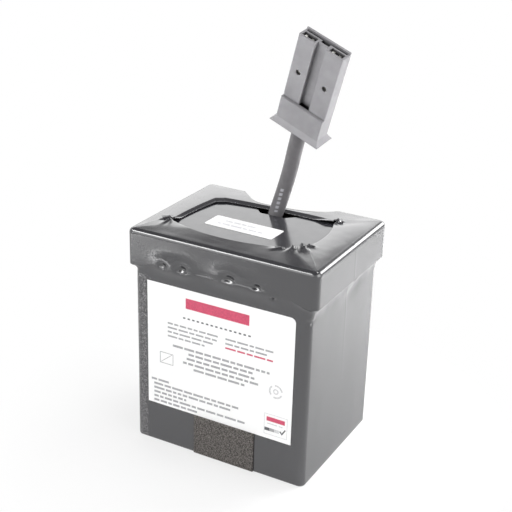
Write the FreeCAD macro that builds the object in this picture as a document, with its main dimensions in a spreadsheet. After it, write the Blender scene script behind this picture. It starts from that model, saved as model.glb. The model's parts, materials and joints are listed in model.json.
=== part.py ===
"""UPS battery cartridge.

A 12 V sealed lead-acid block of six cells in a black shrink sleeve. A wider moulded cap covers
its terminals and leads, and a short stiff cord leaves the cap's notch for a two-pole connector.

Frame: X to the right along the label face, Y to the rear, Z up, origin at the middle of the
base. Millimetres.
"""
import FreeCAD, Part
import math
import os
from types import SimpleNamespace

import Sketcher
from FreeCAD import Placement, Rotation, Vector

SIZES = {
    "Battery": {
        "case_width": 90, "case_depth": 70, "case_height": 101, "case_corner": 2.5,
        "case_wall": 2, "partition_wall": 1.5, "cell_count": 6,
        "cover_height": 10, "cover_plate": 4.5, "cover_skirt": 2.2, "seam_groove": 0.4,
    },
    "Plates": {
        "positive_count": 3, "positive_thickness": 1.7, "negative_thickness": 1.2,
        "mat_gap": 0.05, "stack_slack": 0.2, "plate_side_gap": 2, "strap_head": 5.5,
        "plate_rise": 1.5, "mat_overhang": 1, "lug_width": 8, "lug_height": 6, "lug_y": 20,
        "strap_height": 4, "strap_width": 9, "strap_gap": 0.4, "window_gap": 0.2,
        "post_diameter": 6, "post_gap": 0.1,
    },
    "Vents": {
        "trough_y": 14, "trough_end": 4.5, "trough_width": 13, "trough_depth": 3.6,
        "neck_diameter": 6, "neck_bore": 3, "neck_height": 2.2, "valve_wall": 0.7,
        "valve_gap": 0.05, "valve_height": 2.6, "vent_lid": 0.8, "lid_ledge": 1, "lid_gap": 0.1,
    },
    "Terminals": {
        "pocket_length": 14, "pocket_width": 12, "pocket_depth": 2.2, "potting_height": 1.4,
        "tab_thickness": 0.8, "tab_width": 6.35, "tab_height": 6.35, "foot_length": 7,
        "receptacle_wall": 0.7, "receptacle_gap": 0.05, "receptacle_height": 4.9,
        "barrel_diameter": 4, "barrel_length": 6, "boot_wall": 0.5, "boot_gap": 0.1,
        "lead_diameter": 2.6, "lead_rise": 2.1, "lead_turn_y": 7, "lead_gap": 0.1,
    },
    "Cap": {
        "cap_side_gap": 1.95, "cap_face_gap": 0.1, "cap_skirt": 17.1, "cap_corner": 2.5,
        "cap_wall": 1.3, "deck_plate": 1.2, "deck_recess": 1.1, "deck_inset": 6,
        "deck_corner": 8, "head_room": 5, "rib_thickness": 1.6, "rib_gap": 0.15,
        "rib_spacing": 24, "boss_span": 5, "boss_x": 22, "boss_inset": 6.1,
        "notch_x": -1.4, "notch_floor": 13, "notch_depth": 20.6, "notch_drop": 6.2,
    },
    "Sleeve": {
        "film_thick": 0.4, "film_gap": 0.1, "waist_drop": 4.6, "rim_lap": 0.4,
        "base_flange": 10, "base_corner": 8, "lip_width": 0.8, "lip_rise": 0.5,
        "pleat_count": 5, "pleat_length": 8, "pleat_width": 1.7, "pleat_height": 1.2,
        "pleat_spread": 104,
        "opening_left": 36, "opening_right": 29, "opening_front": 18, "opening_rear": 20,
        "front_bow": 6, "right_bow": 2.5, "rear_bow": 4.5, "left_bow": 1.5, "opening_corner": 5,
        "dip_depth": 4.6, "dip_floor": 15, "dip_start": 22.5, "dip_inset": 2.6,
    },
    "Labels": {
        "label_margin": 7, "label_head": 1.7, "label_base": 20.9, "label_thickness": 0.15,
        "label_corner": 2.5, "pad_x": 3.5, "pad_width": 32.2, "pad_rise": 0.3,
        "pad_thickness": 1, "pad_corner": 2, "sticker_x": -5.4, "sticker_y": -4.7,
        "sticker_length": 36, "sticker_width": 12.4, "sticker_corner": 1, "sticker_turn": -1.5,
    },
    "Cord": {
        "cord_diameter": 7.2, "core_diameter": 2.6, "core_spacing": 3,
    },
    "Connector": {
        "plug_right": 12.2, "plug_back": 1.25, "plug_rise": 43.8,
        "plug_yaw": -4.5, "plug_pitch": 21.1, "plug_roll": 13.8,
        "plug_width": 23.6, "plug_depth": 6.7, "plug_length": 47, "plug_corner": 0.5,
        "collar_length": 13.4, "collar_step": 1.6, "flange_height": 2.3, "flange_out": 1.9,
        "channel_width": 5.5, "channel_depth": 2.2, "front_wall": 1, "rear_wall": 1.15,
        "rear_rise": 0.8, "cell_width": 7, "cell_depth": 2.8, "slot_width": 21.6,
        "slot_depth": 0.9, "slot_length": 12, "key_width": 4.4, "key_wall": 0.8,
        "key_length": 20, "lance_hole": 2.5, "lance_from_end": 18.4, "cord_entry": 3,
        "entry_gap": 0.1, "chamber_width": 19, "chamber_depth": 4.6,
        "contact_width": 6, "contact_depth": 2.2, "contact_sheet": 0.5, "contact_length": 24,
        "contact_inset": 1.5,
    },
}

# The cord's middle line, from the middle of the notch's front edge at the cap's top, and the
# length of its straight run into the connector.
CORD_ROUTE = [(-0.5, 3.9, -2.3), (4.5, 5.8, 15.7)]
CORD_LAST_RUN = 8.8

# Directions of the opening's corners, in degrees: the first is front left.
FIRST_CORNER, QUARTER_TURN = 225, 90
# A bend takes this share of the shorter run beside it.
BEND_SHARE = 0.45
# Every second pleat is this much of a full one.
SHORT_PLEAT = 0.65
# Lengths under this count as nothing.
TINY = 1e-6
PLACEMENT = "placement(vector({}; {}; {}); rotation({}; {}; {}))"

doc = FreeCAD.newDocument("battery_cartridge")


# ---------------------------------------------------------------- sizes

class Size:
    """A sheet value, or a formula of sheet values, with its expression and its number."""

    def __init__(self, text, number):
        self.text = text
        self.number = number

    def combine(self, sign, other, number):
        return Size(f"({self.text} {sign} {as_size(other).text})", number)

    def __add__(self, other):
        return self.combine("+", other, self.number + as_size(other).number)

    def __sub__(self, other):
        return self.combine("-", other, self.number - as_size(other).number)

    def __mul__(self, other):
        return self.combine("*", other, self.number * as_size(other).number)

    def __truediv__(self, other):
        return self.combine("/", other, self.number / as_size(other).number)

    def __radd__(self, other):
        return as_size(other) + self

    def __rsub__(self, other):
        return as_size(other) - self

    def __rmul__(self, other):
        return as_size(other) * self

    def __neg__(self):
        return as_size(0) - self

    def __float__(self):
        return float(self.number)


def as_size(value):
    return value if isinstance(value, Size) else Size(repr(value), value)


def write_sheet():
    """Put every driving size in the document's sheet, and return them by name."""
    sheet = doc.addObject("Spreadsheet::Sheet", "Sizes")
    named = SimpleNamespace()
    row = 1
    for group, entries in SIZES.items():
        sheet.set(f"A{row}", group)
        for alias, number in entries.items():
            row += 1
            sheet.set(f"A{row}", alias.replace("_", " "))
            sheet.set(f"B{row}", str(number))
            sheet.setAlias(f"B{row}", alias)
            setattr(named, alias, Size(f"Sizes.{alias}", number))
        row += 2
    doc.recompute()
    return named


s = write_sheet()

# Levels and places that several pieces share.
case_base = s.film_thick
case_top = case_base + s.case_height
container_top = case_top - s.cover_height
cell_pitch = (s.case_width - 2 * s.case_wall + s.partition_wall) / s.cell_count
cell_width = cell_pitch - s.partition_wall
end_cell_x = cell_pitch * (s.cell_count - 1) / 2
plate_base = case_base + s.case_wall + s.plate_rise
strap_top = container_top - s.strap_head
strap_base = strap_top - s.strap_height
plate_height = strap_base - s.lug_height - plate_base
plate_depth = s.case_depth - 2 * (s.case_wall + s.plate_side_gap)
plate_step = (cell_width - s.stack_slack - s.negative_thickness) / s.positive_count
plate_gap = plate_step / 2 - (s.positive_thickness + s.negative_thickness) / 2
first_positive_x = -plate_step * (s.positive_count - 1) / 2
trough_length = 2 * (end_cell_x + s.trough_end)
pocket_floor = case_top - s.pocket_depth
terminal_y = -s.lug_y
tab_x = end_cell_x + (s.foot_length - s.tab_thickness) / 2
receptacle_base = pocket_floor + s.potting_height + s.boot_gap
lead_z = case_top + s.lead_rise
deck_under = case_top + s.head_room
deck_top = deck_under + s.deck_plate
cap_top = deck_top + s.deck_recess
cap_base = cap_top - s.cap_skirt
cap_width = s.case_width + 2 * (s.cap_side_gap + s.cap_wall)
cap_depth = s.case_depth + 2 * (s.cap_face_gap + s.cap_wall)
notch_front = cap_depth / 2 - s.notch_depth
film_out = s.film_gap + s.film_thick
sleeve_width = s.case_width + 2 * film_out
sleeve_depth = s.case_depth + 2 * film_out
rim_width = cap_width + 2 * film_out
rim_depth = cap_depth + 2 * film_out
sleeve_top = cap_top + film_out
rim_base = cap_base - s.rim_lap
waist = rim_base - s.waist_drop
label_top = waist - s.label_head
plug_front = -(s.plug_depth + s.collar_step) / 2 + s.collar_step
plug_rear = plug_front + s.plug_depth
rail_x = (s.plug_width + s.channel_width) / 4
cell_y = plug_front + s.front_wall + s.cell_depth / 2
plug_place = (s.notch_x + s.plug_right, notch_front + s.plug_back, cap_top + s.plug_rise,
              s.plug_yaw, s.plug_pitch, s.plug_roll)
contact_base = s.plug_length - s.contact_inset - s.contact_length


# ---------------------------------------------------------------- drawing helpers

def bind(obj, prop, size):
    """Set one property from the sheet."""
    obj.setExpression(prop, as_size(size).text)


def place(obj, x=0, y=0, z=0):
    for axis, size in zip("xyz", (x, y, z)):
        bind(obj, f"Placement.Base.{axis}", size)


def new_body(label, separate=False):
    body = doc.addObject("PartDesign::Body", label)
    body.Label = label
    body.AllowCompound = separate
    return body


def origin_part(body, role):
    return next(item for item in body.Origin.OriginFeatures if item.Role == role)


def new_sketch(body, plane="XY_Plane", offset=None):
    sketch = body.newObject("Sketcher::SketchObject", "Sketch")
    sketch.AttachmentSupport = (origin_part(body, plane), [""])
    sketch.MapMode = "FlatFace"
    if offset is not None:
        bind(sketch, "AttachmentOffset.Base.z", offset)
    return sketch


def constrain(sketch, kind, *places, size=None):
    if size is None:
        return sketch.addConstraint(Sketcher.Constraint(kind, *places))
    size = as_size(size)
    index = sketch.addConstraint(Sketcher.Constraint(kind, *places, float(size)))
    bind(sketch, f"Constraints[{index}]", size)
    return index


def polygon(sketch, corners):
    """Closed outline through corners, each given by its two sizes."""
    corners = [(as_size(x), as_size(y)) for x, y in corners]
    points = [Vector(float(x), float(y), 0) for x, y in corners]
    first = sketch.GeometryCount
    count = len(points)
    for i in range(count):
        sketch.addGeometry(Part.LineSegment(points[i], points[(i + 1) % count]))
    for i in range(count):
        constrain(sketch, "Coincident", first + i, 2, first + (i + 1) % count, 1)
    for i, (x, y) in enumerate(corners):
        constrain(sketch, "DistanceX", -1, 1, first + i, 1, size=x)
        constrain(sketch, "DistanceY", -1, 1, first + i, 1, size=y)


def rectangle(sketch, width, height, x=0, y=0):
    """Rectangle with its middle at x, y."""
    left, right = as_size(x) - width / 2, as_size(x) + width / 2
    low, high = as_size(y) - height / 2, as_size(y) + height / 2
    first = sketch.GeometryCount
    points = [Vector(float(a), float(b), 0)
              for a, b in ((left, low), (right, low), (right, high), (left, high))]
    for i in range(4):
        sketch.addGeometry(Part.LineSegment(points[i], points[(i + 1) % 4]))
    for i in range(4):
        constrain(sketch, "Coincident", first + i, 2, first + (i + 1) % 4, 1)
        constrain(sketch, ("Horizontal", "Vertical")[i % 2], first + i)
    constrain(sketch, "DistanceX", first, 1, first, 2, size=width)
    constrain(sketch, "DistanceY", first + 1, 1, first + 1, 2, size=height)
    constrain(sketch, "DistanceX", -1, 1, first, 1, size=left)
    constrain(sketch, "DistanceY", -1, 1, first, 1, size=low)


def rounded_rectangle(sketch, width, height, radius):
    """Rectangle about the origin, with an arc at each corner."""
    right, high, bend = float(width) / 2, float(height) / 2, float(radius)
    first = sketch.GeometryCount
    centres = [Vector(x * (right - bend), y * (high - bend), 0)
               for x, y in ((1, 1), (-1, 1), (-1, -1), (1, -1))]
    for i, centre in enumerate(centres):
        round_corner = Part.Circle(centre, Vector(0, 0, 1), bend)
        sketch.addGeometry(Part.ArcOfCircle(round_corner, i * math.pi / 2, (i + 1) * math.pi / 2))
    for i in range(4):
        start = sketch.getPoint(first + i, 2)
        sketch.addGeometry(Part.LineSegment(start, sketch.getPoint(first + (i + 1) % 4, 1)))
    for i in range(4):
        constrain(sketch, "Tangent", first + i, 2, first + 4 + i, 1)
        constrain(sketch, "Tangent", first + 4 + i, 2, first + (i + 1) % 4, 1)
        constrain(sketch, ("Horizontal", "Vertical")[i % 2], first + 4 + i)
        constrain(sketch, "Radius", first + i, size=radius)
    constrain(sketch, "DistanceX", -1, 1, first, 1, size=as_size(width) / 2)
    constrain(sketch, "DistanceX", first + 1, 2, first, 1, size=width)
    constrain(sketch, "DistanceY", -1, 1, first, 2, size=as_size(height) / 2)
    constrain(sketch, "DistanceY", first + 2, 2, first, 2, size=height)


def cross(sketch, span, thickness, x, y):
    """Cross-shaped outline with its middle at x, y."""
    arm = [(span / 2, -thickness / 2), (span / 2, thickness / 2), (thickness / 2, thickness / 2)]
    corners = []
    for _ in range(4):
        corners += [(x + a, y + b) for a, b in arm]
        arm = [(-b, a) for a, b in arm]
    polygon(sketch, corners)


def circle(sketch, diameter, x=0, y=0):
    index = sketch.addGeometry(
        Part.Circle(Vector(float(x), float(y), 0), Vector(0, 0, 1), float(diameter) / 2))
    constrain(sketch, "Diameter", index, size=diameter)
    constrain(sketch, "DistanceX", -1, 1, index, 3, size=x)
    constrain(sketch, "DistanceY", -1, 1, index, 3, size=y)


def bowed_outline(sketch, corners, bows):
    """Closed outline of arcs: side i joins corner i to the next and bulges out by bow i."""
    points = [Vector(float(x), float(y), 0) for x, y in corners]
    count = len(points)
    first = sketch.GeometryCount
    for i in range(count):
        start, end = points[i], points[(i + 1) % count]
        side = (end - start).normalize()
        middle = (start + end) / 2 + Vector(side.y, -side.x, 0) * float(bows[i])
        sketch.addGeometry(Part.Arc(start, middle, end))
    for i in range(count):
        constrain(sketch, "Coincident", first + i, 2, first + (i + 1) % count, 1)
        x, y = corners[i]
        constrain(sketch, "DistanceX", -1, 1, first + i, 1, size=x)
        constrain(sketch, "DistanceY", -1, 1, first + i, 1, size=y)
        end_x, end_y = corners[(i + 1) % count]
        chord = (end_x - x) * (end_x - x) + (end_y - y) * (end_y - y)
        radius = chord / (8 * bows[i]) + bows[i] / 2
        constrain(sketch, "Radius", first + i, size=radius)


def pad(body, sketch, length, reverse=False):
    feature = body.newObject("PartDesign::Pad", "Pad")
    feature.Profile = sketch
    bind(feature, "Length", length)
    feature.Reversed = reverse
    doc.recompute()
    return feature


def pocket(body, sketch, length, reverse=False, middle=False):
    """Cut along the sketch's normal, away from it unless reversed, or both ways from it."""
    before = body.Shape.Volume
    feature = body.newObject("PartDesign::Pocket", "Pocket")
    feature.Profile = sketch
    bind(feature, "Length", length)
    feature.Reversed = reverse
    feature.Midplane = middle
    doc.recompute()
    if before - body.Shape.Volume < 1e-3:
        raise ValueError(f"a pocket of {body.Label} cuts nothing")
    return feature


def loft(body, profile, *sections, kind="Additive"):
    """Straight-sided loft through sketches, added to the body or cut from it."""
    feature = body.newObject(f"PartDesign::{kind}Loft", "Loft")
    feature.Profile = profile
    feature.Sections = list(sections)
    feature.Ruled = True
    doc.recompute()
    return feature


def repeat(body, feature, step, count, axis="X_Axis"):
    """Copy a feature along an axis, count times at a step."""
    pattern = body.newObject("PartDesign::LinearPattern", "Pattern")
    pattern.Originals = [feature]
    pattern.Direction = (origin_part(body, axis), [""])
    bind(pattern, "Length", step * (count - 1))
    bind(pattern, "Occurrences", count)
    body.Tip = pattern
    doc.recompute()
    return pattern


def repeat_grid(body, features, *rows):
    """Copy features along X in nested rows, each given by its step and its count."""
    grid = body.newObject("PartDesign::MultiTransform", "Grid")
    grid.Originals = features
    patterns = []
    for step, count in rows:
        pattern = body.newObject("PartDesign::LinearPattern", "Row")
        pattern.Direction = (origin_part(body, "X_Axis"), [""])
        bind(pattern, "Length", step * (count - 1))
        bind(pattern, "Occurrences", count)
        patterns.append(pattern)
    grid.Transformations = patterns
    body.Tip = grid
    doc.recompute()
    return grid


def round_edges(body, radius, wanted):
    """Fillet the body's edges whose middle point and direction satisfy wanted."""
    names = []
    for number, edge in enumerate(body.Shape.Edges, 1):
        start, end = edge.Vertexes[0].Point, edge.Vertexes[-1].Point
        middle = edge.valueAt((edge.FirstParameter + edge.LastParameter) / 2)
        if wanted(middle, end - start):
            names.append(f"Edge{number}")
    fillet = body.newObject("PartDesign::Fillet", "Fillet")
    fillet.Base = (body.Tip if fillet.BaseFeature is None else fillet.BaseFeature, names)
    bind(fillet, "Radius", radius)
    body.Tip = fillet
    doc.recompute()
    return fillet


def upright(run):
    return abs(run.x) < TINY and abs(run.y) < TINY and abs(run.z) > TINY


def along_y(run):
    return abs(run.y) > TINY and abs(run.x) < TINY and abs(run.z) < TINY


def box(name, length, width, height, x, y, z):
    """Part::Box with its low corner at x, y, z."""
    solid = doc.addObject("Part::Box", name)
    for prop, size in zip(("Length", "Width", "Height"), (length, width, height)):
        bind(solid, prop, size)
    place(solid, x, y, z)
    return solid


def cut(name, base, tool):
    result = doc.addObject("Part::Cut", name)
    result.Base, result.Tool = base, tool
    return result


def join(name, parts, fused=True):
    """Fuse parts into one solid, or keep them as one group of separate solids."""
    result = doc.addObject("Part::MultiFuse" if fused else "Part::Compound", name)
    setattr(result, "Shapes" if fused else "Links", parts)
    return result


def bends(points):
    """Each corner of a route, with where its bend starts and ends on the two runs beside it."""
    for before, corner, after in zip(points, points[1:], points[2:]):
        back, ahead = before - corner, after - corner
        reach = BEND_SHARE * min(back.Length, ahead.Length)
        yield corner, corner + back.normalize() * reach, corner + ahead.normalize() * reach


def arc_route(points):
    """Wire of straight runs joined by tangent arcs, each as large as its two runs allow."""
    edges, radii = [], []
    last = points[0]
    for corner, start, end in bends(points):
        chord = (start + end) / 2
        outward = corner - chord
        half_turn = math.atan2(outward.Length, (end - start).Length / 2)
        radii.append((start - corner).Length / math.tan(half_turn))
        middle = chord + outward.normalize() * (radii[-1] * (1 - math.cos(half_turn)))
        edges.append(Part.LineSegment(last, start).toShape())
        edges.append(Part.Arc(start, middle, end).toShape())
        last = end
    edges.append(Part.LineSegment(last, points[-1]).toShape())
    print(f"smallest bend radius {min(radii):.1f}")
    return Part.Wire(edges)


def mitred_route(points):
    """Wire of straight runs, with each corner taken in two equal turns."""
    corners = [place for _, *ends in bends(points) for place in ends]
    return Part.makePolygon([points[0], *corners, points[-1]])


def tube(name, wire, diameter):
    """Solid round tube along a route."""
    first = wire.Edges[0]
    start = first.valueAt(first.FirstParameter)
    profile = Part.Wire(Part.makeCircle(diameter / 2, start, first.tangentAt(first.FirstParameter)))
    shape = wire.makePipeShell([profile], True, False, 1)
    section = math.pi * diameter ** 2 / 4
    if abs(shape.Volume / (section * wire.Length) - 1) > 0.01:
        raise ValueError(f"{name} doesn't fill its route")
    print(f"{name}: length {wire.Length:.1f}")
    feature = doc.addObject("Part::Feature", name)
    feature.Shape = shape
    return feature


# ---------------------------------------------------------------- battery case

def battery_container():
    """Open case of six cells, with windows through its partitions for the cell connectors."""
    body = new_body("battery_container")
    outline = new_sketch(body, offset=case_base)
    rectangle(outline, s.case_width, s.case_depth)
    pad(body, outline, container_top - case_base)
    round_edges(body, s.case_corner, lambda middle, run: upright(run))
    cell = new_sketch(body, offset=container_top)
    rectangle(cell, cell_width, s.case_depth - 2 * s.case_wall, x=-end_cell_x)
    first = pocket(body, cell, container_top - case_base - s.case_wall)
    repeat(body, first, cell_pitch, s.cell_count)
    for start, side in ((0, 1), (1, -1)):
        window = new_sketch(body, "YZ_Plane", offset=-end_cell_x + cell_pitch * (start + 0.5))
        rectangle(window, s.strap_width + 2 * s.window_gap, s.strap_height + 2 * s.window_gap,
                  x=side * s.lug_y, y=strap_base + s.strap_height / 2)
        first = pocket(body, window, s.partition_wall * 2, middle=True)
        repeat(body, first, 2 * cell_pitch, s.cell_count / 2 - start)
    return body


def battery_cover():
    """Lid with its skirt, terminal pockets, vent trough and six valve necks."""
    body = new_body("battery_cover")
    outline = new_sketch(body, offset=container_top)
    rectangle(outline, s.case_width, s.case_depth)
    pad(body, outline, s.cover_height)
    round_edges(body, s.case_corner, lambda middle, run: upright(run))
    groove = new_sketch(body, offset=container_top)
    rectangle(groove, s.case_width + 2, s.case_depth + 2)
    rectangle(groove, s.case_width - 2 * s.seam_groove, s.case_depth - 2 * s.seam_groove)
    pocket(body, groove, s.seam_groove, reverse=True)
    hollow = new_sketch(body, offset=container_top)
    rectangle(hollow, s.case_width - 2 * s.cover_skirt, s.case_depth - 2 * s.cover_skirt)
    pocket(body, hollow, s.cover_height - s.cover_plate, reverse=True)
    for side in (-1, 1):
        recess = new_sketch(body, offset=case_top)
        rectangle(recess, s.pocket_width, s.pocket_length, x=side * end_cell_x, y=terminal_y)
        pocket(body, recess, s.pocket_depth)
        bore = new_sketch(body, offset=case_top)
        circle(bore, s.post_diameter + 2 * s.post_gap, x=side * end_cell_x, y=terminal_y)
        pocket(body, bore, s.cover_plate + 1)
    trough = new_sketch(body, offset=case_top)
    rectangle(trough, trough_length, s.trough_width, y=s.trough_y)
    pocket(body, trough, s.trough_depth)
    ledge = new_sketch(body, offset=case_top)
    rectangle(ledge, trough_length + 2 * s.lid_ledge, s.trough_width + 2 * s.lid_ledge,
              y=s.trough_y)
    pocket(body, ledge, s.vent_lid)
    neck = new_sketch(body, offset=case_top - s.trough_depth)
    circle(neck, s.neck_diameter, x=-end_cell_x, y=s.trough_y)
    first = pad(body, neck, s.neck_height)
    repeat(body, first, cell_pitch, s.cell_count)
    vent = new_sketch(body, offset=case_top)
    circle(vent, s.neck_bore, x=-end_cell_x, y=s.trough_y)
    first = pocket(body, vent, s.cover_plate + 1)
    repeat(body, first, cell_pitch, s.cell_count)
    return body


def valve_caps():
    """Six rubber cups pushed over the valve necks."""
    body = new_body("valve_caps", separate=True)
    floor = case_top - s.trough_depth
    bore = s.neck_diameter + 2 * s.valve_gap
    outside = new_sketch(body, offset=floor)
    circle(outside, bore + 2 * s.valve_wall, x=-end_cell_x, y=s.trough_y)
    cup = pad(body, outside, s.valve_height)
    inside = new_sketch(body, offset=floor)
    circle(inside, bore, x=-end_cell_x, y=s.trough_y)
    hollow = pocket(body, inside, s.neck_height + s.valve_gap, reverse=True)
    pattern = repeat(body, cup, cell_pitch, s.cell_count)
    pattern.Originals = [cup, hollow]
    return body


def vent_cover():
    """Strip over the valves, seated on the trough's ledge, with a breathing notch at each end."""
    body = new_body("vent_cover")
    strip = new_sketch(body, offset=case_top - s.vent_lid)
    length = trough_length + 2 * (s.lid_ledge - s.lid_gap)
    rectangle(strip, length, s.trough_width + 2 * (s.lid_ledge - s.lid_gap), y=s.trough_y)
    pad(body, strip, s.vent_lid)
    for side in (-1, 1):
        breather = new_sketch(body, offset=case_top)
        rectangle(breather, s.vent_lid * 2, s.vent_lid * 2, x=side * length / 2, y=s.trough_y)
        pocket(body, breather, s.vent_lid)
    return body


# ---------------------------------------------------------------- plates and straps

def plate_set(label, thickness, start, count, side):
    """One polarity's plates: count in each cell, with lugs that change sides cell by cell."""
    body = new_body(label, separate=True)
    for odd in (0, 1):
        lug_y = side * (1 - 2 * odd) * s.lug_y
        middle_x = -end_cell_x + odd * cell_pitch + start
        plate = new_sketch(body, "YZ_Plane", offset=middle_x - thickness / 2)
        half, top = plate_depth / 2, plate_base + plate_height
        low, high = lug_y - s.lug_width / 2, lug_y + s.lug_width / 2
        polygon(plate, [(-half, plate_base), (half, plate_base), (half, top), (high, top),
                        (high, strap_base), (low, strap_base), (low, top), (-half, top)])
        first = pad(body, plate, thickness)
        repeat_grid(body, [first], (plate_step, count), (2 * cell_pitch, s.cell_count / 2))
    return body


def glass_mats():
    """Absorbent mats on both faces of every positive plate."""
    body = new_body("glass_mat_separators", separate=True)
    thickness = plate_gap - 2 * s.mat_gap
    from_plate = (s.positive_thickness + plate_gap) / 2
    mats = []
    for side in (-1, 1):
        middle_x = first_positive_x - end_cell_x + side * from_plate
        mat = new_sketch(body, "YZ_Plane", offset=middle_x - thickness / 2)
        rectangle(mat, plate_depth + 2 * s.mat_overhang, plate_height + s.mat_overhang,
                  y=plate_base + (plate_height + s.mat_overhang) / 2)
        mats.append(pad(body, mat, thickness))
    repeat_grid(body, mats, (plate_step, s.positive_count), (cell_pitch, s.cell_count))
    return body


def cell_connectors():
    """Cast straps that join neighbouring cells through the windows, alternately front and rear."""
    body = new_body("cell_connectors", separate=True)
    length = 2 * cell_width + s.partition_wall - 2 * s.strap_gap
    for start, side in ((0, 1), (1, -1)):
        bar = new_sketch(body, offset=strap_base)
        rectangle(bar, length, s.strap_width,
                  x=-end_cell_x + cell_pitch * (start + 0.5), y=side * s.lug_y)
        first = pad(body, bar, s.strap_height)
        repeat(body, first, 2 * cell_pitch, s.cell_count / 2 - start)
    return body


def end_post(label, side):
    """End cell's strap with the post that rises through the cover."""
    body = new_body(label)
    bar = new_sketch(body, offset=strap_base)
    rectangle(bar, cell_width - 2 * s.strap_gap, s.strap_width, x=side * end_cell_x,
              y=terminal_y)
    pad(body, bar, s.strap_height)
    post = new_sketch(body, offset=strap_top)
    circle(post, s.post_diameter, x=side * end_cell_x, y=terminal_y)
    pad(body, post, pocket_floor - strap_top)
    return body


# ---------------------------------------------------------------- terminals and leads

def terminal_tab(label, side):
    """Bent terminal: a foot on the post and a blade with a chamfered tip and a detent hole."""
    body = new_body(label)
    foot = new_sketch(body, offset=pocket_floor)
    rectangle(foot, s.foot_length, s.tab_width, x=side * end_cell_x, y=terminal_y)
    pad(body, foot, s.tab_thickness)
    blade = new_sketch(body, offset=pocket_floor)
    rectangle(blade, s.tab_thickness, s.tab_width, x=side * tab_x, y=terminal_y)
    pad(body, blade, s.tab_height)
    tip = pocket_floor + s.tab_height
    round_edges(body, s.tab_thickness, lambda middle, run: (
        abs(run.x) > 0 and abs(run.y) < TINY and middle.z > float(tip) - TINY))
    hole = new_sketch(body, "YZ_Plane", offset=side * tab_x)
    circle(hole, s.tab_thickness * 2, x=terminal_y, y=tip - s.tab_height * 0.4)
    pocket(body, hole, s.tab_thickness * 2, middle=True)
    return body


def terminal_potting(tabs):
    """Sealing resin that fills both pockets round the tabs."""
    fills = []
    for side, tab in zip((-1, 1), tabs):
        fill = box(f"potting_fill_{side}", s.pocket_width, s.pocket_length, s.potting_height,
                   side * end_cell_x - s.pocket_width / 2, terminal_y - s.pocket_length / 2,
                   pocket_floor)
        fills.append(cut(f"potting_round_tab_{side}", fill, tab))
    return join("terminal_potting", fills, fused=False)


def receptacle(label, side):
    """Flag receptacle: a flat socket over the blade, with its crimp barrel to the rear."""
    slot_width = s.tab_thickness + 2 * s.receptacle_gap
    slot_depth = s.tab_width + 2 * s.receptacle_gap
    width = slot_width + 2 * s.receptacle_wall
    depth = slot_depth + 2 * s.receptacle_wall
    body = new_body(label)
    socket = new_sketch(body, offset=receptacle_base)
    rectangle(socket, width, depth, x=side * tab_x, y=terminal_y)
    pad(body, socket, s.receptacle_height)
    crimp = new_sketch(body, "XZ_Plane", offset=-(terminal_y + depth / 2))
    circle(crimp, s.barrel_diameter, x=side * tab_x, y=lead_z)
    pad(body, crimp, s.barrel_length, reverse=True)
    slot = new_sketch(body, offset=receptacle_base)
    rectangle(slot, slot_width, slot_depth, x=side * tab_x, y=terminal_y)
    pocket(body, slot, s.receptacle_height, reverse=True)
    bore = new_sketch(body, "XZ_Plane", offset=-(terminal_y + depth / 2 + s.barrel_length))
    circle(bore, s.lead_diameter, x=side * tab_x, y=lead_z)
    pocket(body, bore, s.barrel_length, reverse=True)
    return body


def boot(label, side):
    """Insulating boot over a receptacle, open below and to the rear."""
    inner_width = s.tab_thickness + 2 * (s.receptacle_gap + s.receptacle_wall + s.boot_gap)
    inner_depth = s.tab_width + 2 * (s.receptacle_gap + s.receptacle_wall + s.boot_gap)
    body = new_body(label)
    shell = new_sketch(body, offset=receptacle_base)
    rectangle(shell, inner_width + 2 * s.boot_wall, inner_depth + 2 * s.boot_wall,
              x=side * tab_x, y=terminal_y)
    pad(body, shell, s.receptacle_height + s.boot_gap + s.boot_wall)
    round_edges(body, s.boot_wall, lambda middle, run: upright(run))
    hollow = new_sketch(body, offset=receptacle_base)
    rectangle(hollow, inner_width, inner_depth, x=side * tab_x, y=terminal_y)
    pocket(body, hollow, s.receptacle_height + s.boot_gap, reverse=True)
    mouth = new_sketch(body, "XZ_Plane", offset=-(terminal_y + inner_depth / 2 - s.boot_gap))
    rectangle(mouth, s.barrel_diameter + 2 * s.boot_gap, s.receptacle_height + s.boot_gap,
              x=side * tab_x, y=receptacle_base + (s.receptacle_height + s.boot_gap) / 2)
    pocket(body, mouth, s.boot_wall + 2 * s.boot_gap)
    return body


def cord_points():
    mouth = Vector(float(s.notch_x), float(notch_front), float(cap_top))
    return [mouth + Vector(*point) for point in CORD_ROUTE]


def cord_foot(side):
    """Where one core leaves the cord's foot, and the point below it, just over the cover."""
    start, onward = cord_points()[:2]
    along = (onward - start).normalize()
    across = Vector(0, 1, 0).cross(along).normalize()
    core_end = start + across * (side * float(s.core_spacing) / 2)
    level = float(case_top + s.lead_diameter / 2 + s.lead_gap)
    return core_end, core_end - along * ((core_end.z - level) / along.z)


def lead(label, side):
    """Insulated lead from its crimp, over the cover, to the foot of the cord."""
    crimp_y = terminal_y + s.tab_width / 2 + s.receptacle_gap + s.receptacle_wall
    core_end, below = cord_foot(side)
    points = [Vector(side * float(tab_x), float(y), float(lead_z))
              for y in (crimp_y, s.lead_turn_y)]
    return tube(label, mitred_route(points + [below, core_end]), float(s.lead_diameter))


# ---------------------------------------------------------------- cap

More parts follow.
